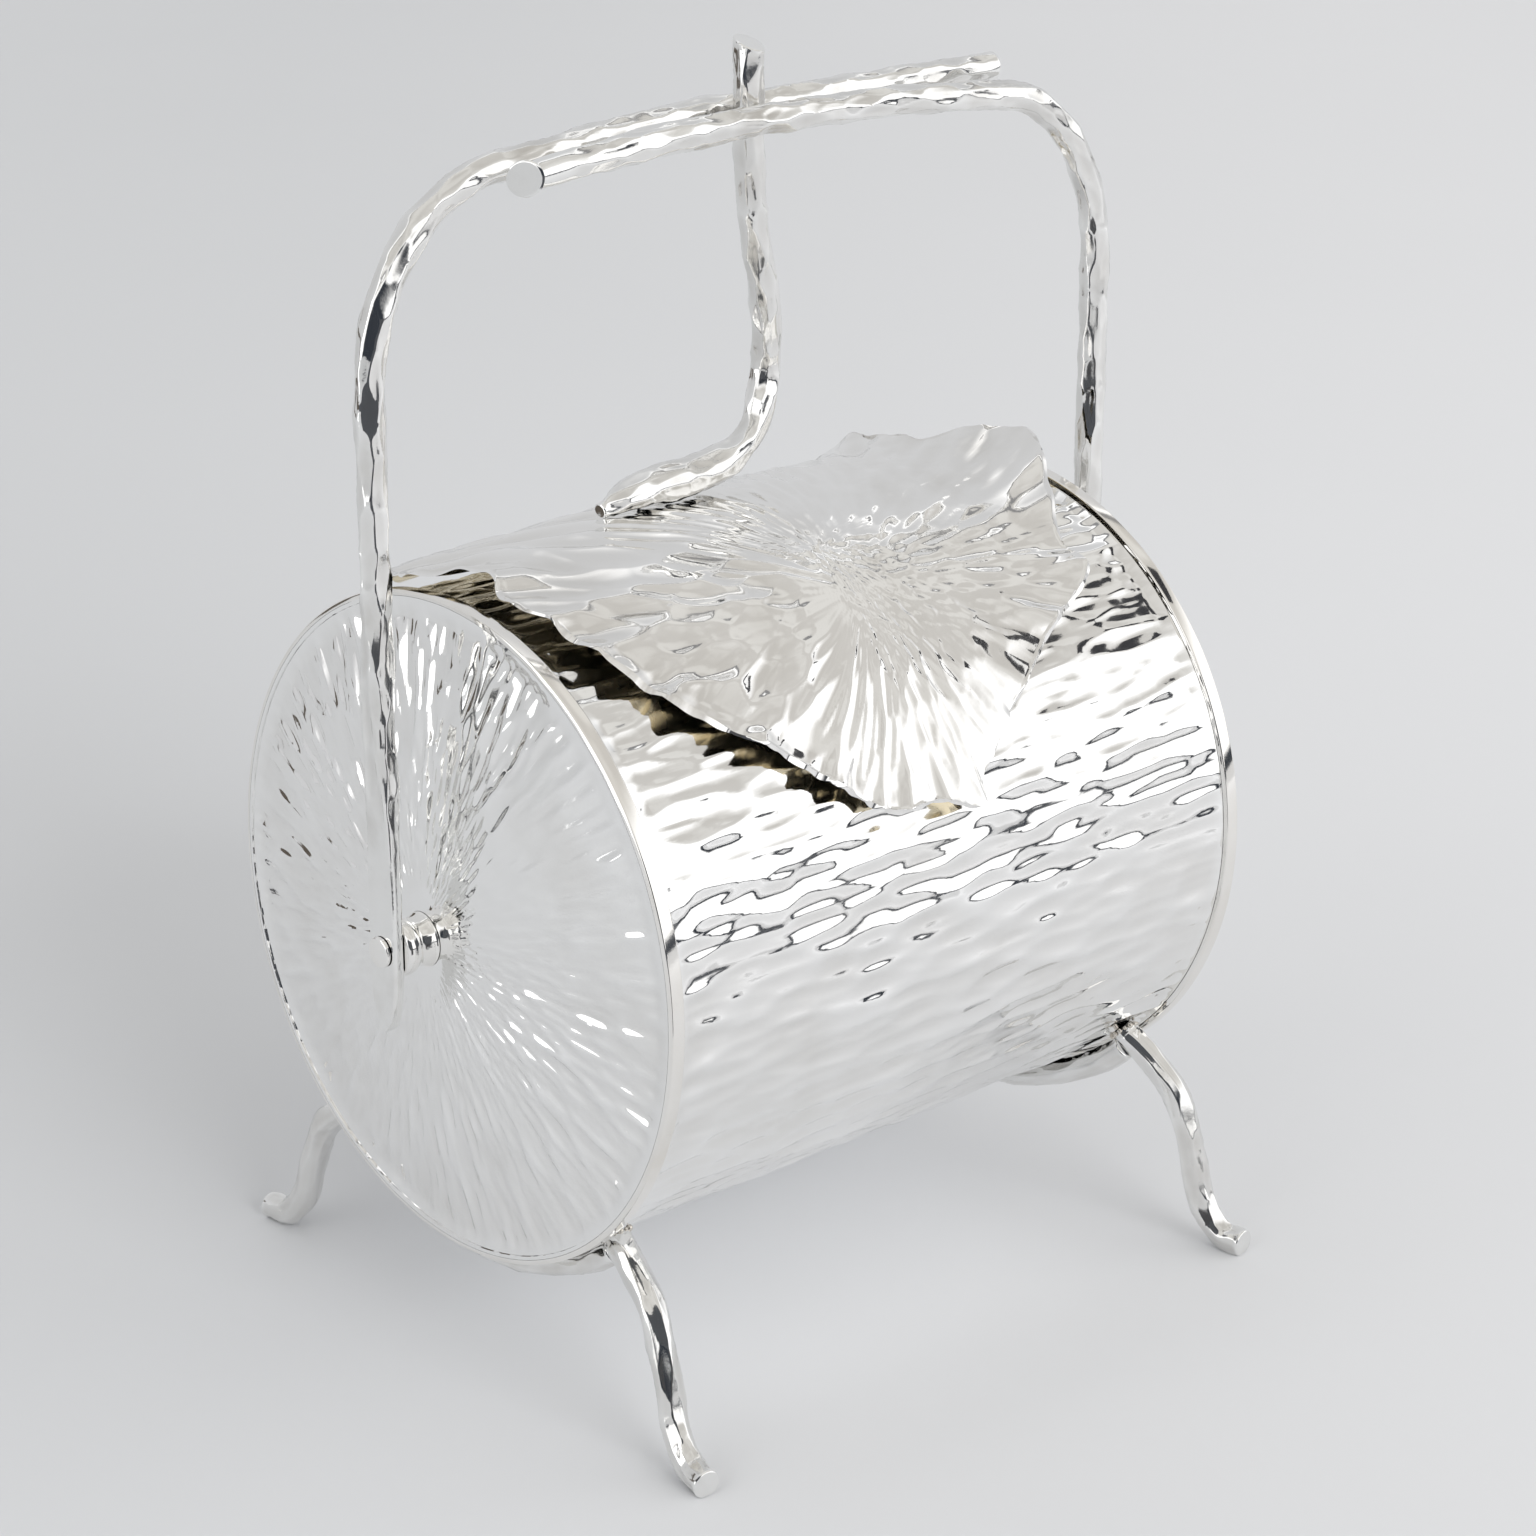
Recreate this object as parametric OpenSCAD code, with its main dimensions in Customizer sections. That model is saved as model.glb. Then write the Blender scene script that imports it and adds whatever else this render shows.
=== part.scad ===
// Lidded drum bucket on four branch legs, with a branch handle and a leaf lid.
// The drum lies along X with its axis over the origin, the front faces -Y and the floor is Z = 0.

/* [Drum] */
// Height of the drum's axis above the floor
axis_h = 150; // [138:1:175]
// Outside radius of the drum's wall
drum_r = 108; // [98:1:116]
// Length of the drum over its rims
drum_len = 249; // [230:1:280]
// Thickness of the drum's wall
wall_t = 1.2; // [0.8:0.1:2]
// Thickness of the end plates
plate_t = 1.2; // [0.8:0.1:2]
// Rise of each end plate from its flange to its centre
plate_crown = 10; // [7:0.5:13]
// How far each end plate sits inside the drum's end
plate_recess = 0.6; // [0.3:0.1:1.5]
// Depth of the flange that is soldered inside the wall
flange_depth = 4; // [3:0.5:7]
// Width of the polished bands round the rims
band_w = 5.5; // [4:0.5:8]
// Height of the bands above the wall
band_t = 2; // [1:0.25:3]
// Rounding of the bands' outer edges
band_edge_r = 0.8; // [0.3:0.1:1]
// Film of solder between pieces that are joined
solder = 0.1; // [0.05:0.05:0.3]

/* [Opening] */
// Distance from each end of the drum to the opening
opening_inset = 50; // [44:1:65]
// Reach of the opening in front of the drum's axis
opening_front = 72; // [56:1:78]
// Reach of the opening behind the drum's axis
opening_back = 44; // [34:1:50]
// Radius of the opening's corners
opening_corner_r = 22; // [8:1:30]

/* [Pivots] */
// Length of the turned boss between end plate and handle
boss_len = 11.5; // [9:0.5:16]
// Radius of the boss at the end plate
boss_base_r = 9; // [8.5:0.5:12]
// Radius of the boss at its waist
boss_waist_r = 8; // [6:0.5:8.5]
// Radius of the collar that the handle turns against
boss_collar_r = 9.5; // [8.5:0.5:11]
// Radius of the rivets' shanks
rivet_r = 3; // [2:0.25:4]
// Radius of the rivets' heads
rivet_head_r = 5; // [4.5:0.25:6]
// Thickness of the rivets' heads
rivet_head_t = 1.2; // [0.8:0.1:2]
// Radius of the washers inside the drum
washer_r = 11; // [8:0.5:15]
// Thickness of the washers inside the drum
washer_t = 1.5; // [1:0.1:2.5]
// Radius of the rivets' clenched tails
tail_r = 4.8; // [4.25:0.25:6]
// Thickness of the rivets' clenched tails
tail_t = 2; // [1:0.25:3]
// Radial clearance of a rivet in the handle
running_fit = 0.05; // [0.02:0.01:0.1]
// Axial play on each side of the handle's paddles
play = 0.3; // [0.2:0.05:0.6]

/* [Handle] */
// Diameter of the handle's branches
rod_d = 9.75; // [7.5:0.25:11.5]
// Width of the flattened paddles at the pivots
paddle_w = 13; // [12:0.5:17]
// Thickness of the flattened paddles
paddle_t = 4; // [3:0.25:5]
// Reach of the paddles below the pivots
paddle_drop = 27; // [16:1:32]
// Height above the pivots where the flattening starts
paddle_top = 20; // [12:1:30]
// Height above the pivots where an arm is round again and leans no further
round_from = 100; // [70:1:120]
// Height of the grip above the drum's axis, at the stem
handle_h = 244.5; // [225:0.5:275]
// Width of the bend from arm to grip
bend_w = 52; // [40:1:60]
// Height of the bend from arm to grip
bend_h = 62; // [45:1:70]
// Rise of the grip from the bends to the stem
grip_arch = 5; // [0:0.5:10]
// How far the right arm leans to the front
right_lean = 13; // [4:0.5:16]
// Reach of the left branch past the stem
left_reach = 114; // [90:1:122]
// Reach of the right branch past the stem
right_reach = 100; // [80:1:120]
// Droop of the right branch's free end
right_droop = 6; // [0:0.5:10]

/* [Stem] */
// Diameter of the stem
stem_d = 10; // [8:0.25:11.5]
// Height of the stem's cut end above the grip
stem_rise = 22.5; // [14:0.5:30]
// Distance of the stem in front of the axis, at the grip
stem_set = 5; // [0:0.5:8]
// Slant of the stem's cut end to the front, in degrees
stem_slant = 22; // [0:1:35]
// Slant of the stem's cut end to the right, in degrees
stem_skew = 9; // [0:1:20]
// How far the stem's knee swings to the right
knee_out = 24; // [18:0.5:30]
// Height of the knee's outermost point above the leaf
knee_h = 38; // [30:1:48]
// Thickness of the stem's foot
foot_t = 13; // [10:0.5:15]
// Width of the stem's foot
foot_w = 14; // [10:0.5:18]
// Distance from the stem to the tip of its foot
foot_reach = 50; // [35:1:60]
// Place of the foot behind the drum's top, in degrees
foot_angle = 6; // [0:0.5:12]

/* [Leaf] */
// Thickness of the leaf
leaf_t = 1.4; // [1:0.1:2.2]
// Distance from each end of the drum to the leaf
leaf_inset = 6; // [3:0.5:15]
// Reach of the leaf round the front, from the drum's top
leaf_front_reach = 138; // [120:1:145]
// Reach of the leaf round the back, from the drum's top
leaf_back_reach = 80; // [70:1:86]
// Gap between the bands and the leaf's edge
leaf_gap = 2.8; // [2:0.1:5]
// Rise of the leaf's middle above its edge
leaf_crown = 4.8; // [2:0.1:8]
// Height of the tallest curl of the leaf's edge
leaf_curl_h = 12; // [6:0.5:16]
// Share of the leaf, from its heart, that stays uncurled
curl_from = 0.7; // [0.5:0.05:0.85]

/* [Legs] */
// Diameter of the legs
leg_d = 9.4; // [7.4:0.2:11.4]
// Width of the saddles under the drum
saddle_w = 17; // [12:0.5:22]
// Thickness of the saddles at their middle
saddle_t = 9.5; // [7:0.5:12]
// Gap between the saddles and the rim bands
saddle_gap = 0.5; // [0.3:0.1:3]
// Place of the left legs' roots, in degrees from the drum's bottom
left_root = 37; // [32:1:44]
// Place of the right legs' roots, in degrees from the drum's bottom
right_root = 44; // [34:1:50]
// How far the toes stand out past the drum's sides
toe_out = 15; // [4:1:27]
// How far a front toe spreads towards the drum's end
front_splay = 12.5; // [4:0.5:16]
// How far a back toe spreads towards the drum's end
back_splay = 2.5; // [0:0.5:16]
// Depth of the flat under each toe
toe_flat = 0.4; // [0.2:0.1:0.8]

/* [Hidden] */

$fn = 96;
LEFT = -1;
RIGHT = 1;
FRONT = -1;
BACK = 1;

// Sides of the branches, and steps along their curves
rod_sides = 16;
taper_steps = 6;
rise_steps = 3;
bend_steps = 10;
grip_steps = 12;
curve_steps = 5;
arch_points = 12;

// A margin for cuts that run past the solid that they cut
past = 5;

// Radii and planes that several pieces share
wall_in_r = drum_r - wall_t;
rim_r = drum_r + band_t;
end_x = drum_len / 2;
flange_r = wall_in_r - solder;
plate_rim_x = end_x - plate_recess;
plate_mid_x = plate_rim_x + plate_crown;
boss_x = plate_mid_x + solder;
paddle_in_x = boss_x + boss_len + play;
arm_x = paddle_in_x + paddle_t / 2;
head_x = paddle_in_x + paddle_t + play;
washer_x = plate_mid_x - plate_t - plate_dip(washer_r) - solder;
tail_x = washer_x - washer_t - solder;

// The handle's curve
arm_top = handle_h - grip_arch - bend_h;
grip_x = arm_x - bend_w;

// Gap between the stem and the leaf and grips that it is soldered to, which leaves room for its bends
stem_seat = 3 * solder;
grip_side = (stem_d + rod_d) / 2 + stem_seat;

// The leaf's base cylinder and half length
leaf_r = rim_r + leaf_gap + leaf_t;
leaf_half = end_x - leaf_inset;

// The leaf's heart, from which its lobes spread: shares of the half length and of the front reach
leaf_heart = [-0.02, 0.275];

// The leaf's edge, anticlockwise from its right tip: share of the half length, share of the reach
// round the front (or, if negative, the back), and share of the tallest curl
leaf_edge = [
    [0.94, 0.13, 1], [0.77, 0.40, 0.25], [0.75, 0.54, 0.33], [0.53, 0.65, 0.08], [0.29, 0.80, 0],
    [0.12, 0.92, 0.08], [0.05, 1, 0.25], [-0.09, 0.96, 0.33], [-0.24, 0.955, 0.17], [-0.37, 0.875, 0],
    [-0.52, 0.76, 0.04], [-0.68, 0.64, 0], [-0.82, 0.49, 0.08], [-0.90, 0.31, 0], [-0.96, 0.16, 0.04],
    [-0.92, 0.01, 0.21], [-1, -0.26, 0.04], [-0.91, -0.66, 0], [-0.71, -0.95, 0.17], [-0.38, -0.82, 0],
    [-0.10, -0.72, 0], [0.24, -0.88, 0], [0.56, -1, 0.25], [0.70, -0.82, 0.17], [0.87, -0.72, 0.67],
    [0.83, -0.31, 0.25], [0.90, -0.04, 0.58]
];
edge_steps = 3;
leaf_rings = 8;

// How far along a boss its waist and its collar come
waist_at = 0.4;
collar_at = 0.75;

// Share of the paddles' drop that is rounded, and the least width of a paddle's tip
tip_share = 0.8;
tip_least = 0.2;
tip_steps = 6;

// The stem's foot, from its tip: share of the reach, and share of the foot's width and thickness
foot_shape = [[1.25, 0.4], [1, 0.4], [0.78, 0.8], [0.45, 1], [0.2, 1]];

// The stem from its foot to its knee: share of the knee's swing, and share of its height
knee_shape = [[0.15, 0.24], [0.53, 0.37], [0.81, 0.58], [1, 1]];

// The stem from its knee to the grip: share of the way, and bow to the right as a share of the knee's
stem_shape = [[0.25, 0.05], [0.63, -0.06], [1, 0]];

// How fast the saddles swell from their ends to their full width
saddle_swell = 1.3;

// A leg from its root to its toe: share of the way out, and share of the height from the toe to the root
leg_shape = [
    [0.22, 0.87], [0.41, 0.735], [0.51, 0.56], [0.58, 0.38], [0.66, 0.17], [0.82, 0.02], [1, 0]
];

// How far past the leaf's front reach its crown would fall to nothing
crown_reach = 1.1;

// The saddles' place along the drum, and the circle that they follow
saddle_x = end_x - band_w - saddle_gap - saddle_w / 2;
saddle_mid_r = drum_r + leg_d / 2;

silver = [0.85, 0.84, 0.81];
polished = [0.92, 0.91, 0.89];
shaded = [0.70, 0.69, 0.66];

function lerp(a, b, t) = a + (b - a) * t;
function ease(t) = let (c = max(0, min(1, t))) c * c * (3 - 2 * c);
function unit(v) = v / norm(v);
function joined(lists) = [for (part = lists) for (item = part) item];

// Drop of an end plate below its centre, at a radius
function plate_dip(r) = plate_crown * pow(r / flange_r, 2);

// A smooth curve through four neighbouring points, from the second to the third
function curve_at(a, b, c, d, t) =
    0.5 * (2 * b + (c - a) * t + (2 * a - 5 * b + 4 * c - d) * t * t
        + (3 * b - a - 3 * c + d) * t * t * t);

// An open curve from the second point to the last but one; the outer two only set its ends
function open_curve(p, steps) = concat(
    [for (i = [1 : len(p) - 3]) for (k = [0 : steps - 1])
        curve_at(p[i - 1], p[i], p[i + 1], p[i + 2], k / steps)],
    [p[len(p) - 2]]);

// A closed curve through all the points
function closed_curve(p, steps) = let (n = len(p))
    [for (i = [0 : n - 1]) for (k = [0 : steps - 1])
        curve_at(p[(i + n - 1) % n], p[i], p[(i + 1) % n], p[(i + 2) % n], k / steps)];

// Direction of a path at one of its points
function heading(path, i) = unit(path[min(i + 1, len(path) - 1)] - path[max(i - 1, 0)]);

// One ring of a branch: an oval, flattened where its depth is more than its limit
function ring(centre, along, across, half_w, half_d, limit) =
    let (w = unit(across - along * (along * across)), d = cross(along, w))
    [for (k = [0 : rod_sides - 1]) let (t = 360 * k / rod_sides)
        centre + w * half_w * cos(t) + d * max(-limit, min(limit, half_d * sin(t)))];

// A branch along a path. Each size is [half width, half depth, limit of the depth].
module branch(path, sizes, across) {
    rings = len(path);
    points = joined([for (i = [0 : rings - 1])
        ring(path[i], heading(path, i), across, sizes[i][0], sizes[i][1], sizes[i][2])]);
    sides = joined([for (i = [0 : rings - 2]) for (k = [0 : rod_sides - 1])
        let (a = i * rod_sides + k, b = i * rod_sides + (k + 1) % rod_sides,
            c = b + rod_sides, d = a + rod_sides)
        [[a, d, c], [a, c, b]]]);
    first = [for (k = [0 : rod_sides - 1]) k];
    last = [for (k = [rod_sides - 1 : -1 : 0]) (rings - 1) * rod_sides + k];
    polyhedron(points, concat(sides, [first, last]));
}

// Children turned about the drum's axis: their Z runs out of the drum's end on the given side
module on_axis(side) {
    translate([0, 0, axis_h]) rotate([0, side * 90, 0]) children();
}

// A plain cylinder on the drum's axis, from one distance to another out of a side
module axle(side, from, to, r) {
    on_axis(side) translate([0, 0, from]) cylinder(h = to - from, r = r);
}

// Outline of the drum's opening, seen from above
module opening_outline() {
    half = end_x - opening_inset;
    r = opening_corner_r;
    depth = opening_front + opening_back;
    translate([-half + r, -opening_front]) square([2 * (half - r), depth]);
    translate([-half, -opening_front + r]) square([2 * half, depth - 2 * r]);
    for (x = [-half + r, half - r])
        for (y = [-opening_front + r, opening_back - r])
            translate([x, y]) circle(r);
}

// The drum's wall, open at the top under the leaf
module drum_shell() {
    color(silver) difference() {
        axle(RIGHT, -end_x, end_x, drum_r);
        axle(RIGHT, -end_x - past, end_x + past, wall_in_r);
        translate([0, 0, axis_h]) linear_extrude(drum_r + past) opening_outline();
    }
}

// An end plate: a shallow dome with a flange turned into the drum
module end_plate(side) {
    dome = [for (i = [0 : arch_points]) let (r = flange_r * i / arch_points)
        [r, plate_mid_x - plate_dip(r)]];
    flange_in_r = flange_r - plate_t;
    under = [for (i = [arch_points : -1 : 0]) let (r = flange_in_r * i / arch_points)
        [r, plate_mid_x - plate_t - plate_dip(r)]];
    edge = [[flange_r, plate_rim_x - flange_depth], [flange_in_r, plate_rim_x - flange_depth]];
    color(silver) difference() {
        on_axis(side) rotate_extrude() polygon(concat(dome, edge, under));
        axle(side, 0, boss_x + past, rivet_r + solder);
    }
}

// A polished band round one rim, with rounded outer edges
module rim_band(side) {
    color(polished) on_axis(side) translate([0, 0, end_x - band_w]) rotate_extrude() {
        inner = drum_r + solder;
        translate([inner, 0]) square([rim_r - band_edge_r - inner, band_w]);
        translate([inner, band_edge_r]) square([rim_r - inner, band_w - 2 * band_edge_r]);
        for (z = [band_edge_r, band_w - band_edge_r])
            translate([rim_r - band_edge_r, z]) circle(band_edge_r, $fn = 32);
    }
}

// A turned boss: a flared base, a waist and a rounded collar
module pivot_boss(side) {
    waist_z = boss_len * waist_at;
    collar_z = boss_len * collar_at;
    bore = rivet_r + solder;
    flare = [for (i = [0 : arch_points]) let (t = i / arch_points)
        [lerp(boss_base_r, boss_waist_r, sin(90 * t)), waist_z * (1 - cos(90 * t))]];
    swell = [for (i = [1 : arch_points]) let (t = i / arch_points)
        [lerp(boss_waist_r, boss_collar_r, ease(t)), lerp(waist_z, collar_z, t)]];
    lip = [for (i = [1 : arch_points]) let (t = i / arch_points)
        [boss_collar_r - (boss_collar_r - boss_waist_r) * (1 - cos(90 * t)),
            lerp(collar_z, boss_len, sin(90 * t))]];
    color(silver) on_axis(side) translate([0, 0, boss_x]) rotate_extrude()
        polygon(concat([[bore, 0]], flare, swell, lip, [[bore, boss_len]]));
}

// A rivet from its flat head through paddle, boss, plate and washer to its clenched tail
module pivot_rivet(side) {
    bevel = rivet_head_t / 2;
    crown = tail_t / 2;
    color(polished) on_axis(side) rotate_extrude() polygon([
        [0, tail_x - tail_t], [tail_r - crown, tail_x - tail_t], [tail_r, tail_x - crown], [tail_r, tail_x],
        [rivet_r, tail_x], [rivet_r, head_x], [rivet_head_r, head_x], [rivet_head_r, head_x + bevel],
        [rivet_head_r - bevel, head_x + rivet_head_t], [0, head_x + rivet_head_t]
    ]);
}

// A washer inside the drum, which spreads the rivet's pull over the end plate
module backing_washer(side) {
    color(shaded) difference() {
        axle(side, washer_x - washer_t, washer_x, washer_r);
        axle(side, washer_x - washer_t - past, washer_x + past, rivet_r + solder);
    }
}

// Points of a leg from its root on the drum's wall to its toe
function root_angle(side) = side == LEFT ? left_root : right_root;
function leg_line(side, end, splay) = let (
    a = root_angle(side),
    root = [side * saddle_x, end * drum_r * sin(a), axis_h - drum_r * cos(a)],
    toe = [side * (saddle_x + splay), end * (drum_r + toe_out), leg_d / 2 - toe_flat])
    concat([root], [for (p = leg_shape)
        [lerp(root[0], toe[0], p[0]), lerp(root[1], toe[1], p[0]), lerp(toe[2], root[2], p[1])]]);

// The drum's wall with its film of solder, to be cut from what is soldered under it
module wall_seat() {
    axle(RIGHT, -end_x - past, end_x + past, drum_r + solder);
}

// Everything on the outer side of a leg's root, with its film of solder, to be cut from the saddle
module root_side(side, end, splay) {
    line = leg_line(side, end, splay);
    out = line[1] - line[0];
    reach = 4 * leg_d;
    translate(line[0]) rotate([0, acos(out[2] / norm(out)), atan2(out[1], out[0])])
        translate([leg_d / 2 + solder - reach, -reach / 2, -reach / 2]) cube(reach);
}

// A saddle: a flattened branch that hugs the drum's underside and narrows to the legs at its ends
module saddle(side) {
    steps = 2 * arch_points;
    span = root_angle(side);
    angles = [for (i = [0 : steps]) lerp(-span, span, i / steps)];
    path = [for (a = angles)
        [side * saddle_x, saddle_mid_r * sin(a), axis_h - saddle_mid_r * cos(a)]];
    sizes = [for (a = angles) let (t = ease(saddle_swell * (1 - abs(a) / span)))
        let (depth = lerp(leg_d / 2, saddle_t - leg_d / 2, t))
        [lerp(leg_d / 2, saddle_w / 2, t), depth, depth]];
    color(silver) difference() {
        branch(path, sizes, [1, 0, 0]);
        wall_seat();
        root_side(side, FRONT, front_splay);
        root_side(side, BACK, back_splay);
    }
}

// A leg: a branch from the drum's wall down the shin and out along the toe
module leg(side, end, splay) {
    line = leg_line(side, end, splay);
    toe = line[len(line) - 1];
    inward = leg_d * unit(line[0] - line[1]);
    shin = [for (i = [1 : len(line) - 1]) line[i]];
    knots = concat([line[0] + 2 * inward, line[0] + inward], shin, [toe + [0, end * leg_d, 0]]);
    path = open_curve(knots, curve_steps);
    sizes = [for (p = path) [leg_d / 2, leg_d / 2, leg_d / 2]];
    color(silver) difference() {
        branch(path, sizes, [1, 0, 0]);
        wall_seat();
        translate([-drum_len, -drum_len, -drum_r]) cube([2 * drum_len, 2 * drum_len, drum_r]);
    }
}

// A handle branch: paddle, arm, bend and grip, as points above the pivot on the drum's axis
function arm_lean(z, lean) = lean * ease((z - paddle_top) / (round_from - paddle_top));
function handle_path(side, lean, grip_y, reach, droop) = let (
    tip = [for (i = [0 : tip_steps]) -paddle_drop * (1 - tip_share * (1 - cos(90 * i / tip_steps)))],
    flat = [0, paddle_top / 2, paddle_top],
    taper = [for (i = [1 : taper_steps]) lerp(paddle_top, round_from, i / taper_steps)],
    rise = [for (i = [1 : rise_steps]) lerp(round_from, arm_top, i / rise_steps)],
    arm = [for (z = concat(tip, flat, taper, rise)) [side * arm_x, arm_lean(z, lean), z]],
    bend = [for (i = [1 : bend_steps]) let (t = 90 * i / bend_steps)
        [side * (grip_x + bend_w * cos(t)), lean, arm_top + bend_h * sin(t)]],
    grip = [for (i = [1 : grip_steps]) let (x = lerp(grip_x, -reach, i / grip_steps),
        far = x < 0 ? pow(x / reach, 2) : 0, near = x > 0 ? pow(x / grip_x, 2) : 0)
        [side * x, lerp(grip_y, lean, ease(x / grip_x)), handle_h - grip_arch * near - droop * far]])
    [for (p = concat(arm, bend, grip)) p + [0, 0, axis_h]];

// Sizes of a handle branch at a height above the pivot: a paddle, then a taper to the round rod
function handle_size(z) = let (
    t = ease((z - paddle_top) / (round_from - paddle_top)),
    from_tip = min(1, (z + paddle_drop) / (tip_share * paddle_drop)),
    tip = max(tip_least, sqrt(1 - pow(1 - from_tip, 2))))
    [lerp(paddle_w / 2 * tip, rod_d / 2, t), rod_d / 2, lerp(paddle_t / 2, rod_d / 2, t)];

module handle_branch(side, lean, grip_y, reach, droop) {
    path = handle_path(side, lean, grip_y, reach, droop);
    sizes = [for (p = path) handle_size(p[2] - axis_h)];
    color(silver) difference() {
        branch(path, sizes, [0, 1, 0]);
        axle(side, paddle_in_x - past, head_x + past, rivet_r + running_fit);
    }
}

// The leaf's upper face: radius from the drum's axis, at a place along X and an arc from the top
function leaf_face(x, arc) =
    leaf_r + leaf_crown * (1 - pow(x / end_x, 2)) * (1 - pow(arc / (crown_reach * leaf_front_reach), 2));

// A point at a place along X, an arc from the drum's top towards the front, and a radius
function on_leaf(x, arc, r) = let (a = arc / leaf_r * 180 / PI)
    [x, -r * sin(a), axis_h + r * cos(a)];

// The lid: a lobed leaf bent round the drum, whose tips curl away from it
module leaf_lid() {
    knots = [for (p = leaf_edge)
        [p[0] * leaf_half, p[1] * (p[1] < 0 ? leaf_back_reach : leaf_front_reach), p[2]]];
    edge = closed_curve(knots, edge_steps);
    n = len(edge);
    heart_at = [leaf_heart[0] * leaf_half, leaf_heart[1] * leaf_front_reach];
    function flat_at(k, u) = [lerp(heart_at[0], edge[k][0], u), lerp(heart_at[1], edge[k][1], u)];
    function curl(k, u) = leaf_curl_h * edge[k][2] * pow(max(0, (u - curl_from) / (1 - curl_from)), 2);
    function face_point(k, u, drop) = let (f = flat_at(k, u))
        on_leaf(f[0], f[1], leaf_face(f[0], f[1]) + curl(k, u) - drop);
    function sheet(drop) = concat(
        [face_point(0, 0, drop)],
        [for (j = [1 : leaf_rings]) for (k = [0 : n - 1]) face_point(k, j / leaf_rings, drop)]);
    function at(j, k) = 1 + (j - 1) * n + k % n;
    count = 1 + leaf_rings * n;
    heart = [for (k = [0 : n - 1]) [0, at(1, k), at(1, k + 1)]];
    bands = joined([for (j = [1 : leaf_rings - 1]) for (k = [0 : n - 1])
        [[at(j, k), at(j + 1, k), at(j + 1, k + 1)], [at(j, k), at(j + 1, k + 1), at(j, k + 1)]]]);
    upper = concat(heart, bands);
    lower = [for (f = upper) [f[0] + count, f[2] + count, f[1] + count]];
    rim = joined([for (k = [0 : n - 1])
        let (a = at(leaf_rings, k), b = at(leaf_rings, k + 1))
        [[a, a + count, b + count], [a, b + count, b]]]);
    color(silver) polyhedron(concat(sheet(0), sheet(leaf_t)), concat(upper, lower, rim));
}

// The stem: a foot along the leaf, a knee, and a branch up between the two grips
module lid_stem() {
    foot_arc = -foot_angle * PI / 180 * leaf_r;
    function foot_at(x, above) = on_leaf(x, foot_arc, leaf_face(x, foot_arc) + above);
    foot = [for (p = foot_shape) foot_at(-foot_reach * p[0], foot_t / 2 * p[1] + stem_seat)];
    bow = [for (p = knee_shape) foot_at(knee_out * p[0], knee_h * p[1])];
    knee = bow[len(bow) - 1];
    grip = [-stem_set / 2, -stem_set, axis_h + handle_h];
    upper = [for (p = stem_shape) lerp(knee, grip, p[0]) + [knee_out * p[1], 0, 0]];
    top = grip + [0, 0, stem_rise + stem_d];
    path = open_curve(concat(foot, bow, upper, [top, top + [0, 0, stem_rise]]), curve_steps);
    foot_sizes = open_curve(
        [for (p = concat(foot_shape, [foot_shape[len(foot_shape) - 1]])) p[1] * [foot_w, foot_t] / 2],
        curve_steps);
    neck = [stem_d, stem_d] / 2;
    toes = len(foot_sizes) - 1;
    sizes = [for (i = [0 : len(path) - 1])
        let (s = lerp(foot_sizes[min(i, toes)], neck, ease((i - toes) / (2 * curve_steps))))
        [s[0], s[1], s[1]]];
    color(silver) difference() {
        branch(path, sizes, [0, 1, 0]);
        translate(grip + [0, 0, stem_rise]) rotate([stem_slant, stem_skew, 0])
            translate([-stem_d, -stem_d, 0]) cube([2 * stem_d, 2 * stem_d, 2 * stem_rise]);
    }
}

drum_shell();
end_plate(LEFT);  // left_end_plate
end_plate(RIGHT);  // right_end_plate
rim_band(LEFT);  // left_rim_band
rim_band(RIGHT);  // right_rim_band
pivot_boss(LEFT);  // left_pivot_boss
pivot_boss(RIGHT);  // right_pivot_boss
pivot_rivet(LEFT);  // left_pivot_rivet
pivot_rivet(RIGHT);  // right_pivot_rivet
backing_washer(LEFT);  // left_backing_washer
backing_washer(RIGHT);  // right_backing_washer
saddle(LEFT);  // left_saddle
saddle(RIGHT);  // right_saddle
leg(LEFT, FRONT, front_splay);  // front_left_leg
leg(LEFT, BACK, back_splay);  // back_left_leg
leg(RIGHT, FRONT, front_splay);  // front_right_leg
leg(RIGHT, BACK, back_splay);  // back_right_leg
handle_branch(LEFT, 0, -stem_set + grip_side, left_reach, 0);  // left_handle_branch
handle_branch(RIGHT, -right_lean, -stem_set - grip_side, right_reach, right_droop);  // right_handle_branch
lid_stem();
leaf_lid();
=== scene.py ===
# %% [markdown]
# # A silver drum bucket with a branch handle and a leaf lid
#
# The bucket is a hammered drum that lies on its side on four branch legs. Two more branches rise
# from pivots in the drum's ends and make the grip, and a leaf on a stem is the lid. The measured
# model is loaded first and is never changed. Each piece is then made again in the same place with
# a much finer skin, because bright metal shows every small dent by what it reflects.

# %% Load the measured model
import math

import bmesh
import bpy
import numpy as np
from mathutils import Matrix, Vector


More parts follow.
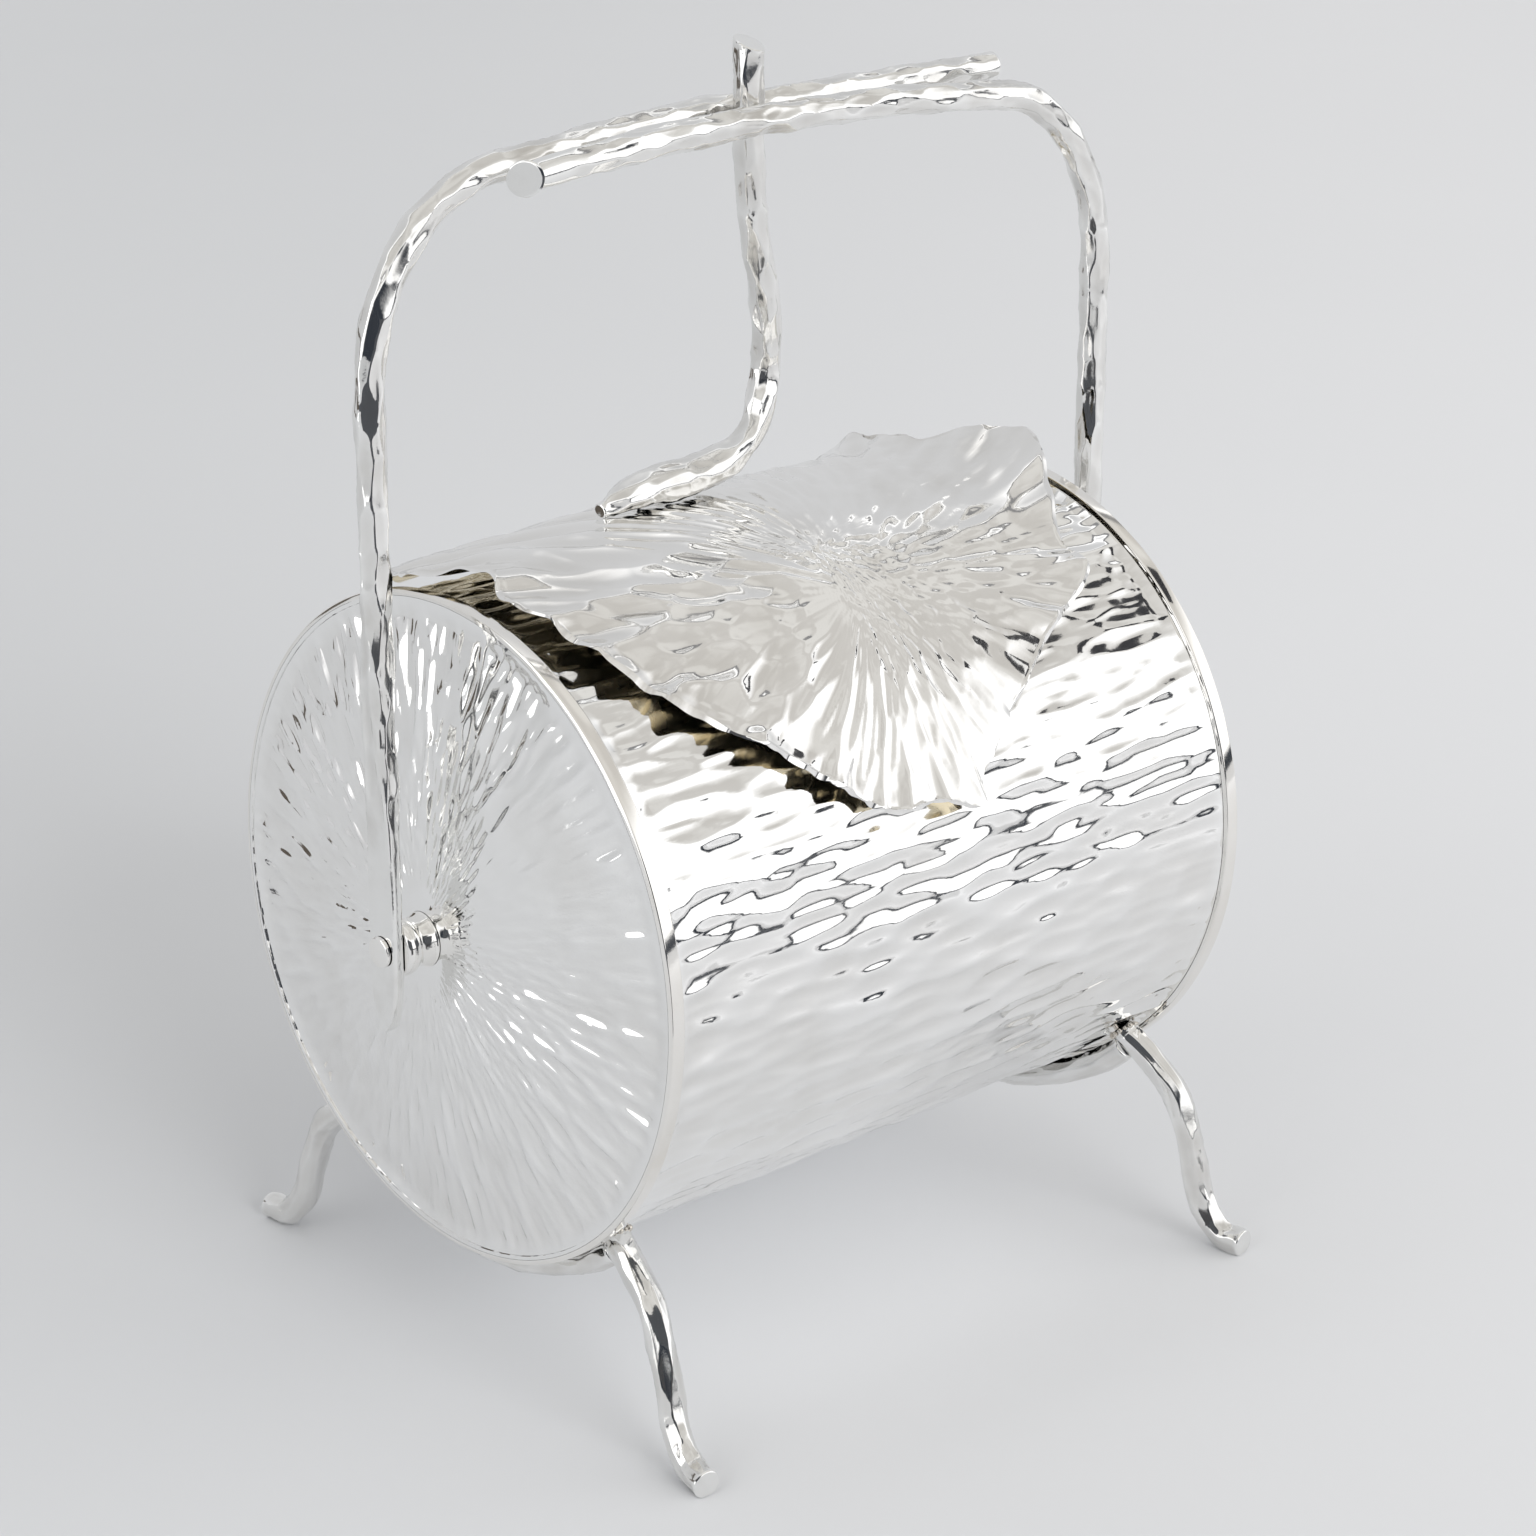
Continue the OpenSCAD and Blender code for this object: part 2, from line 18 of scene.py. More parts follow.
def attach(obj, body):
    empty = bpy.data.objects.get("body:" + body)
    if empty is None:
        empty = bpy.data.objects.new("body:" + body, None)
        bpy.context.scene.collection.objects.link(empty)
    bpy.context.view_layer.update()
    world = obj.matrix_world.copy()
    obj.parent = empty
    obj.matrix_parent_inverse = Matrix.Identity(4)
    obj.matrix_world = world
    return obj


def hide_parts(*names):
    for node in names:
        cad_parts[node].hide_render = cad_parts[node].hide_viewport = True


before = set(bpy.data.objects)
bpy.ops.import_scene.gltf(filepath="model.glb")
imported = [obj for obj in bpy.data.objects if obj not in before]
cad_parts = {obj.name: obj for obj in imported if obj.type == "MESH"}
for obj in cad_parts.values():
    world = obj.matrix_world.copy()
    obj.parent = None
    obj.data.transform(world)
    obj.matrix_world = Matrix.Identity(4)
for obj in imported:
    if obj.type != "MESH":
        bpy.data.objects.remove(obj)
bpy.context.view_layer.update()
scene = bpy.context.scene

# %% [markdown]
# ## Camera
#
# The picture was taken from the front left and a little above, with a long lens. A camera can be
# turned with angles, but here its three axes are worked out from where it stands and what it looks
# at, because then the small roll of the picture is one more number.

# %% Camera
camera_place = Vector((-0.8116, -0.9212, 0.6264))
camera_aim = Vector((-0.0609, -0.0806, 0.2118))
camera_roll = 0.0042
camera_lens, camera_far = 92.1, 50

toward_camera = (camera_place - camera_aim).normalized()
level = Vector((0, 0, 1)).cross(toward_camera).normalized()
upright = toward_camera.cross(level)
rolled_level = level * math.cos(camera_roll) + upright * math.sin(camera_roll)
rolled_upright = upright * math.cos(camera_roll) - level * math.sin(camera_roll)
camera = bpy.data.objects.new("camera", bpy.data.cameras.new("camera"))
camera.data.lens = camera_lens
camera.data.clip_end = camera_far
turn = Matrix((rolled_level, rolled_upright, toward_camera)).transposed().to_4x4()
camera.matrix_world = Matrix.Translation(camera_place) @ turn
scene.collection.objects.link(camera)
scene.camera = camera
print("camera", round((camera_place - camera_aim).length, 3), "m from its target")

# %% [markdown]
# ## Node maths
#
# Both materials and Geometry Nodes are graphs of sockets. Linking Math nodes by hand is slow to
# read, so one small class wraps a socket, and a sum on two wires adds the Math node that does it.
# Every other kind of node comes from one method, which sets the node's settings first, because
# they decide which sockets the node has.

# %% A wire that can be added and multiplied
class Wire:
    """An output socket of a node, on which plain arithmetic adds Math nodes."""

    def __init__(self, socket):
        self.socket = socket
        self.tree = socket.id_data

    @staticmethod
    def node(tree, kind, settings=None, sockets=None, out=0):
        made = tree.nodes.new(kind)
        for name, value in (settings or {}).items():
            setattr(made, name, value)
        for name, value in (sockets or {}).items():
            if isinstance(value, Wire):
                tree.links.new(value.socket, made.inputs[name])
            else:
                made.inputs[name].default_value = value
        return Wire(made.outputs[out]) if made.outputs else made

    def other(self, out):
        return Wire(self.socket.node.outputs[out])

    def math(self, operation, *terms, clamp=False):
        settings = {"operation": operation, "use_clamp": clamp}
        return Wire.node(self.tree, "ShaderNodeMath", settings, dict(enumerate(terms)))

    def __add__(self, term):
        return self.math("ADD", self, term)

    def __radd__(self, term):
        return self.math("ADD", term, self)

    def __sub__(self, term):
        return self.math("SUBTRACT", self, term)

    def __rsub__(self, term):
        return self.math("SUBTRACT", term, self)

    def __mul__(self, term):
        return self.math("MULTIPLY", self, term)

    def __rmul__(self, term):
        return self.math("MULTIPLY", term, self)

    def clamped(self):
        return self.math("ADD", self, 0.0, clamp=True)

    def between(self, low, high):
        return Wire.node(self.tree, "ShaderNodeMapRange", {"interpolation_type": "SMOOTHSTEP"},
                         {"Value": self, "From Min": low, "From Max": high})


print("a wire knows sums, differences and products")

# %% Colours mixed by a wire
MIX_FACTOR, MIX_FIRST, MIX_SECOND, MIX_COLOUR = 0, 6, 7, 2


def mixed(factor, first, second):
    """Two colours, each a wire or plain numbers, mixed by a wire."""
    return Wire.node(factor.tree, "ShaderNodeMix", {"data_type": "RGBA"},
                     {MIX_FACTOR: factor, MIX_FIRST: first, MIX_SECOND: second}, MIX_COLOUR)


def solid(red, green, blue):
    return (red, green, blue, 1.0)


print("colours are mixed with", "ShaderNodeMix")

# %% [markdown]
# ## Silver finishes
#
# The metal is bright silver plate with a few warm clouds of tarnish, soft where it was hammered
# and finely scratched where it was polished. A mirror has hardly any colour of its own, so the
# finish is made from small changes: the colour turns darker and warmer in clouds and in the dents,
# the roughness follows the same clouds, and a very fine bump breaks up the reflections. The
# patterns read Object coordinates, in metres, and the dents come from an attribute that the pieces
# carry.

# %% One recipe for all the silver finishes
mm = 0.001
CLOUD_TINT, DENT_TINT = 0.5, 0.6
TINT_RANGE, HAZE_RANGE = (0.45, 0.8), (0.35, 0.75)


def noise(place, scale, detail=2.0, roughness=0.5, out=0):
    """A cloudy pattern, read at a wire of places."""
    return Wire.node(place.tree, "ShaderNodeTexNoise", None, {
        "Vector": place, "Scale": scale, "Detail": detail, "Roughness": roughness}, out)


def blank(owner):
    """The node tree of a material or a world, switched on and emptied."""
    owner.use_nodes = True
    owner.node_tree.nodes.clear()
    return owner.node_tree


def surface(tree, sockets):
    """A Principled shader as the material's surface."""
    shader = Wire.node(tree, "ShaderNodeBsdfPrincipled", None, sockets)
    Wire.node(tree, "ShaderNodeOutputMaterial", None, {"Surface": shader})


def silver(name, bright, warm, cloud_size, gloss, haze, grain_size, grain_height):
    """A metal whose clouds, dents and grain change its colour, roughness and normal."""
    material = bpy.data.materials.new(name)
    tree = blank(material)
    place = Wire.node(tree, "ShaderNodeTexCoord", out="Object")
    dent = Wire.node(tree, "ShaderNodeAttribute", {"attribute_name": "dent"}, out="Fac")
    cloud = noise(place, 1 / (cloud_size * mm), detail=4.0, roughness=0.6)
    grain = noise(place, 1 / (grain_size * mm), detail=3.0, roughness=0.55)
    tarnish = (cloud.between(*TINT_RANGE) * CLOUD_TINT + dent * DENT_TINT).clamped()
    rough = gloss + cloud.between(*HAZE_RANGE) * haze + dent * (haze / 2)
    bump = Wire.node(tree, "ShaderNodeBump", None, {
        "Strength": 1.0, "Distance": grain_height * mm, "Height": grain})
    surface(tree, {"Base Color": mixed(tarnish, solid(*bright), solid(*warm)), "Metallic": 1.0,
                   "Roughness": rough, "Normal": bump})
    return material


# Each recipe: colour, tarnish, cloud size in mm, gloss, haze, size and height of the grain in mm.
RECIPES = {
    "hammered_silver": ((0.94, 0.94, 0.935), (0.81, 0.80, 0.78), 45, 0.045, 0.05, 2.4, 0.012),
    "branch_silver": ((0.92, 0.92, 0.91), (0.68, 0.665, 0.64), 25, 0.06, 0.07, 1.6, 0.02),
    "leaf_silver": ((0.93, 0.925, 0.915), (0.70, 0.68, 0.645), 50, 0.05, 0.06, 2, 0.015),
    "polished_silver": ((0.94, 0.93, 0.91), (0.85, 0.82, 0.77), 30, 0.04, 0.05, 0.9, 0.004),
    "inner_silver": ((0.80, 0.78, 0.74), (0.62, 0.57, 0.50), 35, 0.2, 0.15, 1.2, 0.02),
    "solder_silver": ((0.70, 0.66, 0.60), (0.45, 0.35, 0.25), 4, 0.18, 0.2, 0.8, 0.04),
    "underside_silver": ((0.86, 0.77, 0.58), (0.60, 0.50, 0.33), 12, 0.16, 0.2, 1.2, 0.03)}
silvers = {name: silver(name, *recipe) for name, recipe in RECIPES.items()}
print("finishes", list(silvers))

# %% [markdown]
# ## Hammer marks
#
# The smith drew the sheet with long narrow blows: along the drum, out from the middle of the end
# plates and of the leaf, and along the branches. A bump map could fake the shading, but mirrors
# give it away at the outline, so the marks are real. One Geometry Nodes tree does it for every
# piece. The piece brings two attributes: "stroke", its place counted in strokes along and across,
# and "hammer", how hard it was struck (below zero on the back of the sheet, which the blow pushes
# out). A smooth Voronoi pattern turns that into shallow bowls that meet in ridges, and a noise
# adds slow waves. On drum and plates the bowls only sink, so the ridges keep the measured size. On
# leaf and branches they are lifted by half, so that the middle between bowl and ridge keeps it.

# %% How a tree begins and ends
def new_tree(name, inputs):
    """A Geometry Nodes tree with named inputs, and the wire of the geometry that it is given."""
    tree = bpy.data.node_groups.new(name, "GeometryNodeTree")
    for socket, kind in {"Geometry": "Geometry", **inputs, "Material": "Material"}.items():
        tree.interface.new_socket(name=socket, in_out="INPUT", socket_type="NodeSocket" + kind)
    tree.interface.new_socket(name="Geometry", in_out="OUTPUT", socket_type="NodeSocketGeometry")
    return tree, Wire(tree.nodes.new("NodeGroupInput").outputs["Geometry"])


def finished_tree(given, geometry):
    """The last nodes of a tree: real mesh that carries the given material."""
    tree = given.tree
    whole = Wire.node(tree, "GeometryNodeRealizeInstances", None, {"Geometry": geometry})
    done = Wire.node(tree, "GeometryNodeSetMaterial", None, {
        "Geometry": whole, "Material": given.other("Material")})
    Wire.node(tree, "NodeGroupOutput", None, {"Geometry": done})
    return tree


def vector_math(operation, first, second, socket=1, out=0):
    return Wire.node(first.tree, "ShaderNodeVectorMath", {"operation": operation},
                     {0: first, socket: second}, out)


print("a tree ends in real mesh with a material")

# %% The tree of hammer marks
SEED_SHIFT = (7.3, 3.1)
SWAY_SCALE = 0.6
BOWL_RIM, BLOW_LEAST, BLOW_SPREAD = 0.85, 0.84, 0.36


def hammer_tree():
    """Geometry Nodes that press bowls and waves into a struck skin."""
    names = ("Depth", "Lift", "Softness", "Wave Height", "Wave Length", "Drift", "Seed")
    tree, given = new_tree("hammer_marks", {name: "Float" for name in names})

    def attribute(name, kind):
        return Wire.node(tree, "GeometryNodeInputNamedAttribute", {"data_type": kind},
                         {"Name": name}, "Attribute")

    stroke, struck = attribute("stroke", "FLOAT_VECTOR"), attribute("hammer", "FLOAT")
    seed, length = given.other("Seed"), given.other("Wave Length")
    shift = Wire.node(tree, "ShaderNodeCombineXYZ", None, {
        "X": seed * SEED_SHIFT[0], "Y": seed * SEED_SHIFT[1]})
    moved = vector_math("ADD", stroke, shift)
    sway = noise(moved, SWAY_SCALE, out="Color")
    drift = vector_math("SCALE", sway, given.other("Drift"), "Scale")
    bowl = Wire.node(tree, "ShaderNodeTexVoronoi", {"feature": "SMOOTH_F1"}, {
        "Vector": vector_math("ADD", moved, drift), "Scale": 1.0,
        "Smoothness": given.other("Softness")}, "Distance")
    blow = Wire.node(tree, "ShaderNodeSeparateXYZ", None, {0: bowl.other("Color")})
    hollow = BOWL_RIM - bowl * bowl
    dent = hollow.math("MAXIMUM", hollow, 0.0) * (BLOW_LEAST + blow * BLOW_SPREAD)
    place = Wire.node(tree, "GeometryNodeInputPosition")
    wave = noise(place, length.math("DIVIDE", 1.0, length), detail=1.0)
    bowls = given.other("Depth") * (dent - given.other("Lift"))
    sunk = (bowls + given.other("Wave Height") * wave) * struck
    push = vector_math("SCALE", Wire.node(tree, "GeometryNodeInputNormal"), sunk * -1.0, "Scale")
    kept = Wire.node(tree, "GeometryNodeStoreNamedAttribute",
                     {"data_type": "FLOAT", "domain": "POINT"},
                     {"Geometry": given, "Name": "dent", "Value": (dent * struck).clamped()})
    pressed = Wire.node(tree, "GeometryNodeSetPosition", None, {"Geometry": kept, "Offset": push})
    return finished_tree(given, pressed)


hammer_marks = hammer_tree()
print("hammer marks take", [item.name for item in hammer_marks.interface.items_tree][1:-1])

# %% Helpers that make, strike and hand over a piece
def new_piece(name, points, faces):
    """A mesh object of closed skin, with its faces turned outwards."""
    mesh = bpy.data.meshes.new(name)
    mesh.from_pydata(points, [], faces, shade_flat=False)
    shell = bmesh.new()
    shell.from_mesh(mesh)
    bmesh.ops.recalc_face_normals(shell, faces=shell.faces)
    shell.to_mesh(mesh)
    shell.free()
    piece = bpy.data.objects.new(name, mesh)
    scene.collection.objects.link(piece)
    return piece


def baked(piece):
    """The piece with its modifiers turned into plain mesh."""
    evaluated = piece.evaluated_get(bpy.context.evaluated_depsgraph_get())
    plain = bpy.data.meshes.new_from_object(evaluated)
    piece.modifiers.clear()
    piece.data = plain
    return piece


def shaped(piece, tree, inputs):
    """The piece after a tree whose inputs are set by their identifiers, as plain mesh."""
    modifier = piece.modifiers.new(tree.name, "NODES")
    modifier.node_group = tree
    for item in tree.interface.items_tree:
        if item.in_out == "INPUT" and item.name in inputs:
            modifier[item.identifier] = inputs[item.name]
    return baked(piece)


def struck(piece, stroke, hammer, slot, depth, wave, seed, lift=0.0, softness=0.2,
           length=60 * mm, drift=0.5):
    """The piece after the hammer: its attributes are stored and the tree is applied."""
    add = piece.data.attributes.new
    add("stroke", "FLOAT_VECTOR", "POINT").data.foreach_set("vector", np.ravel(stroke))
    add("hammer", "FLOAT", "POINT").data.foreach_set("value", np.ravel(hammer))
    return shaped(piece, hammer_marks, {
        "Depth": depth, "Lift": lift, "Softness": softness, "Wave Height": wave,
        "Wave Length": length, "Drift": drift, "Seed": seed, "Material": silvers[slot]})


def handed_over(piece, body, slot, *nodes, crease=50):
    """The finished piece rides on its body in place of its nodes."""
    piece.data.set_sharp_from_angle(angle=math.radians(crease))
    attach(piece, body)
    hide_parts(*nodes)
    triangles = sum(len(face.vertices) - 2 for face in piece.data.polygons)
    print(piece.name, "has", triangles, "triangles on", body)
    return piece


def grid_faces(rows, columns, round_rows=False):
    """Four-sided faces between rows of points that run round in a ring."""
    row = np.arange(rows if round_rows else rows - 1)[:, None]
    column = np.arange(columns)[None, :]
    ahead = (row + 1) % rows
    beside = (column + 1) % columns
    corners = [row * columns + column, row * columns + beside,
               ahead * columns + beside, ahead * columns + column]
    return np.stack(np.broadcast_arrays(*corners), -1).reshape(-1, 4).tolist()


def fan(middle, first, count, flipped=False):
    """Triangles from a middle point to a ring of points."""
    ring = [(first + k, first + (k + 1) % count) for k in range(count)]
    return [(middle, b, a) if flipped else (middle, a, b) for a, b in ring]


def points_of(piece):
    """The piece's points as rows of numbers."""
    flat = np.empty(len(piece.data.vertices) * 3)
    piece.data.vertices.foreach_get("co", flat)
    return flat.reshape(-1, 3)


def ease(t):
    t = np.clip(t, 0, 1)
    return t * t * (3 - 2 * t)


print("helpers ready")

# %% [markdown]
# ## The drum
#
# The body is one sheet of silver rolled into a drum, with a large opening in its top that the leaf
# covers. It could be a cylinder with a solidify modifier, but the wall needs small even faces for
# the hammer marks, so its two skins are written as rings of points and the opening is cut with a
# boolean. The marks run along the drum, and fade out at the rims and round the opening.

# %% Sizes of the drum
axis_h = 150 * mm
drum_r = 108 * mm
end_x = 124.5 * mm
wall_t = 1.2 * mm
band_w = 5.5 * mm
solder = 0.1 * mm
opening_inset = 50 * mm
opening_half = end_x - opening_inset
opening_front = 72 * mm
opening_back = 44 * mm
opening_corner = 22 * mm
drum_rows, drum_inner_rows, drum_steps = 84, 24, 760
drum_stroke = (18 * mm, 5.8 * mm)
drum_blow, drum_wave = 1.8 * mm, 0.5 * mm
rim_fade, opening_bare, opening_fade = 4 * mm, 1 * mm, 5 * mm
print("drum", 2 * drum_r, "by", 2 * end_x, "m")

# %% The opening's outline
def opening_outline(steps=24):
    """Points round the opening, seen from above."""
    corners = [(opening_half, opening_back, 0), (-opening_half, opening_back, 90),
               (-opening_half, -opening_front, 180), (opening_half, -opening_front, 270)]
    outline = []
    for x, y, start in corners:
        centre = (x - math.copysign(opening_corner, x), y - math.copysign(opening_corner, y))
        for k in range(steps + 1):
            angle = math.radians(start + 90 * k / steps)
            outline.append((centre[0] + opening_corner * math.cos(angle),
                            centre[1] + opening_corner * math.sin(angle)))
    return outline


def inside_opening(x, y):
    """How far points lie inside the opening, below zero outside it."""
    middle = (opening_back - opening_front) / 2
    over_x = np.abs(x) - opening_half + opening_corner
    over_y = np.abs(y - middle) - (opening_back + opening_front) / 2 + opening_corner
    round_part = np.hypot(np.maximum(over_x, 0), np.maximum(over_y, 0))
    return opening_corner - round_part - np.minimum(np.maximum(over_x, over_y), 0)


outline = opening_outline()
print("opening", len(outline), "points round")

# %% Rolling the sheet and cutting the opening
def rolled_sheet(name, steps):
    """Outer and inner skin of the drum as rings round its axis, joined at the ends."""
    outer = [(x, drum_r) for x in np.linspace(-end_x, end_x, drum_rows)]
    inner = [(x, drum_r - wall_t) for x in np.linspace(end_x, -end_x, drum_inner_rows)]
    rings = np.array(outer + inner)
    angle = 2 * np.pi * np.arange(steps) / steps
    points = np.empty((len(rings), steps, 3))
    points[..., 0] = rings[:, :1]
    points[..., 1] = rings[:, 1:] * np.sin(angle)
    points[..., 2] = axis_h + rings[:, 1:] * np.cos(angle)
    return new_piece(name, points.reshape(-1, 3), grid_faces(len(rings), steps, round_rows=True))


def cut_away(piece, cutter):
    """The piece without what lies inside the cutter."""
    modifier = piece.modifiers.new("cut", "BOOLEAN")
    modifier.operation = "DIFFERENCE"
    modifier.solver = "MANIFOLD"
    modifier.object = cutter
    baked(piece)
    bpy.data.objects.remove(cutter)
    return piece


def prism(name, outline, low, high):
    """An upright block with the given outline."""
    n = len(outline)
    points = [(x, y, z) for z in (low, high) for x, y in outline]
    faces = grid_faces(2, n) + [list(range(n)), list(range(n, 2 * n))]
    return new_piece(name, points, faces)


drum = rolled_sheet("drum", drum_steps)
cut_away(drum, prism("opening_cutter", outline, axis_h, axis_h + 2 * drum_r))
print("drum has", len(drum.data.polygons), "faces after the cut")

# %% Striking the drum
place = points_of(drum)
from_axis = np.hypot(place[:, 1], place[:, 2] - axis_h)
outside = from_axis > drum_r - wall_t / 2
on_top = place[:, 2] > axis_h
far_off = 1
from_opening = np.where(on_top, -inside_opening(place[:, 0], place[:, 1]), far_off)
fade = ease((end_x - band_w - np.abs(place[:, 0])) / rim_fade)
fade *= ease((from_opening - opening_bare) / opening_fade)
stroke = (place - (0, 0, axis_h)) / (drum_stroke[0], drum_stroke[1], drum_stroke[1])
struck(drum, stroke, np.where(outside, fade, -fade), "hammered_silver", drum_blow,
       drum_wave, seed=2.0)
drum.data.materials.append(silvers["inner_silver"])
hollow = [face.index for face in drum.data.polygons
          if face.normal.yz.dot(Vector((face.center.y, face.center.z - axis_h))) < 0]
for index in hollow:
    drum.data.polygons[index].material_index = 1
handed_over(drum, "bucket", "hammered_silver", "drum_shell")

# %% [markdown]
# ## End plates
#
# Each end is closed by a shallow dome, hammered outwards from the pivot in long radial strokes. It
# is a turned shape, so a profile is spun round the drum's axis. The strokes use the direction from
# the middle as their place across, so that they narrow towards the pivot as the real ones do. The
# upper front of the plate was smoothed again, so the blows are weaker between two angles from
# upright.

# %% Spinning a profile about the drum's axis
def spun(name, profile, steps, side, looped=True):
    """A turned piece. The profile gives distances from the axis and out of the drum's end."""
    profile = np.array(profile)
    angle = 2 * np.pi * np.arange(steps) / steps
    points = np.empty((len(profile), steps, 3))
    points[..., 0] = side * profile[:, 1:]
    points[..., 1] = profile[:, :1] * np.cos(angle)
    points[..., 2] = axis_h + profile[:, :1] * np.sin(angle)
    points = points.reshape(-1, 3).tolist()
    faces = grid_faces(len(profile), steps, round_rows=looped)
    if not looped:
        last = (len(profile) - 1) * steps
        points += [(side * profile[0, 1], 0, axis_h), (side * profile[-1, 1], 0, axis_h)]
        faces += fan(len(points) - 2, 0, steps) + fan(len(points) - 1, last, steps)
    return new_piece(name, points, faces)


SIDES = {"left": -1, "right": 1}
print("pieces are spun for", list(SIDES))

# %% End plates
plate_t = 1.2 * mm
plate_crown = 10 * mm
plate_inset = 0.6 * mm
plate_rim_x = end_x - plate_inset
plate_mid_x = plate_rim_x + plate_crown
flange_r = drum_r - wall_t - solder
flange_depth = 4 * mm
rivet_r = 3 * mm
bore = rivet_r + solder
plate_rows, plate_back_rows, plate_steps = 72, 24, 480
plate_stroke, plate_core, plate_aspect = 4 * mm, 10 * mm, 5
plate_blow, plate_wave, plate_wave_length = 1.9 * mm, 0.6 * mm, 55 * mm
boss_bare, boss_fade, flange_fade = 12 * mm, 8 * mm, 5 * mm
smooth_from, smooth_to, smooth_share = 0.45, 1.7, 0.6
smooth_in, smooth_out = 0.25, 0.5
blow_growth, crisp = 0.7, 0.12
STROKE_REACH = 0.1


def spread_strokes(across, up, width, core, aspect):
    """Stroke places that spread from a middle and are round in the core.

    The strokes are as wide as given where they have spread by the stroke reach.
    """
    away = np.sqrt(across ** 2 + up ** 2 + core ** 2)
    scale = STROKE_REACH / width * (away / STROKE_REACH) ** (1 / aspect) / away
    return np.stack([across * scale, up * scale, np.zeros_like(away)], -1)


def dome(r, drop):
    return (r, plate_mid_x - drop - plate_crown * (r / flange_r) ** 2)


def end_plate(side_name):
    """One hammered dome with its flange."""
    side = SIDES[side_name]
    face = [dome(r, 0) for r in np.linspace(bore, flange_r, plate_rows)]
    back = [dome(r, plate_t) for r in np.linspace(flange_r - plate_t, bore, plate_back_rows)]
    flange = [(r, plate_rim_x - flange_depth) for r in (flange_r, flange_r - plate_t)]
    plate = spun(side_name + "_end_plate", face + flange + back, plate_steps, side)
    place = points_of(plate)
    front, up = place[:, 1], place[:, 2] - axis_h
    r = np.hypot(front, up)
    struck_face = np.abs(place[:, 0]) > dome(r, plate_t / 2)[1]
    fade = (r / flange_r) ** blow_growth * ease((r - boss_bare) / boss_fade)
    fade *= ease((flange_r - r) / flange_fade)
    turn = np.arctan2(-front, up)
    smoothed = ease((turn - smooth_from) / smooth_in) * ease((smooth_to - turn) / smooth_out)
    fade *= 1 - smooth_share * smoothed
    stroke = spread_strokes(front, up, plate_stroke, plate_core, plate_aspect)
    struck(plate, stroke, np.where(struck_face, fade, -fade), "hammered_silver", plate_blow,
           plate_wave, seed=5.0 + side, softness=crisp, length=plate_wave_length)
    return handed_over(plate, "bucket", "hammered_silver", side_name + "_end_plate")


for side_name in SIDES:
    end_plate(side_name)

# %% [markdown]
# ## Bands, bosses, rivets and washers
#
# A polished band hides the seam between wall and end plate. A turned spool, the boss, holds the
# handle clear of the plate, and a flat-headed rivet runs through both. Inside the drum a washer
# backs the rivet. All of them are turned work, so they are spun from profiles too, and only the
# bands get a few slow waves from the hand that bent them.

# %% Rim bands
band_t, band_edge, band_steps = 2 * mm, 0.8 * mm, 400
rim_r = drum_r + band_t
band_stroke, band_blow, band_wave = (9 * mm, 16 * mm), 0.12 * mm, 0.25 * mm
band_softness, band_wave_length = 0.6, 25 * mm
band_foot, band_fade = 0.5 * mm, 1 * mm


def rounded_corner(centre, radius, start, end, steps=6):
    """Points round a corner, as distances from the axis and out of the drum's end."""
    turn = np.radians(np.linspace(start, end, steps + 1))
    return [(centre[0] + radius * math.cos(a), centre[1] + radius * math.sin(a)) for a in turn]


def rim_band(side_name):
    low = end_x - band_w
    top = rim_r - band_edge
    profile = [(drum_r + solder, low)]
    profile += rounded_corner((top, low + band_edge), band_edge, -90, 0)
    profile += rounded_corner((top, end_x - band_edge), band_edge, 0, 90)
    profile += [(drum_r + solder, end_x)]
    band = spun(side_name + "_rim_band", profile, band_steps, SIDES[side_name])
    place = points_of(band)
    height = np.hypot(place[:, 1], place[:, 2] - axis_h)
    worked = ease((height - drum_r - band_foot) / band_fade)
    stroke = np.column_stack([place[:, 0] / band_stroke[0], place[:, 1:] / band_stroke[1]])
    struck(band, stroke, worked, "polished_silver", band_blow, band_wave, seed=8.0,
           softness=band_softness, length=band_wave_length)
    return handed_over(band, "bucket", "polished_silver", side_name + "_rim_band", crease=60)


for side_name in SIDES:
    rim_band(side_name)

# %% Pivot bosses
boss_x = plate_mid_x + solder
boss_len, boss_steps = 11.5 * mm, 128
base_r, waist_r, collar_r = 9 * mm, 8 * mm, 9.5 * mm
waist_z, collar_z = 0.4 * boss_len, 0.75 * boss_len


def boss_profile(steps=16):
    """A flared base, a waist and a rounded collar."""
    t = np.linspace(0, 1, steps + 1)
    quarter = t * np.pi / 2
    flare = zip(base_r + (waist_r - base_r) * np.sin(quarter), waist_z * (1 - np.cos(quarter)))
    swell = zip(waist_r + (collar_r - waist_r) * ease(t), waist_z + (collar_z - waist_z) * t)
    lip = zip(collar_r - (collar_r - waist_r) * (1 - np.cos(quarter)),
              collar_z + (boss_len - collar_z) * np.sin(quarter))
    rows = [(bore, 0)] + list(flare) + list(swell)[1:] + list(lip)[1:] + [(bore, boss_len)]
    return [(r, boss_x + z) for r, z in rows]


def turned(side_name, kind, profile, steps, slot, looped=True, crease=50):
    """A turned piece at one end of the drum."""
    piece = spun(side_name + kind, profile, steps, SIDES[side_name], looped)
    piece.data.materials.append(silvers[slot])
    return handed_over(piece, "bucket", slot, side_name + kind, crease=crease)


for side_name in SIDES:
    turned(side_name, "_pivot_boss", boss_profile(), boss_steps, "polished_silver")

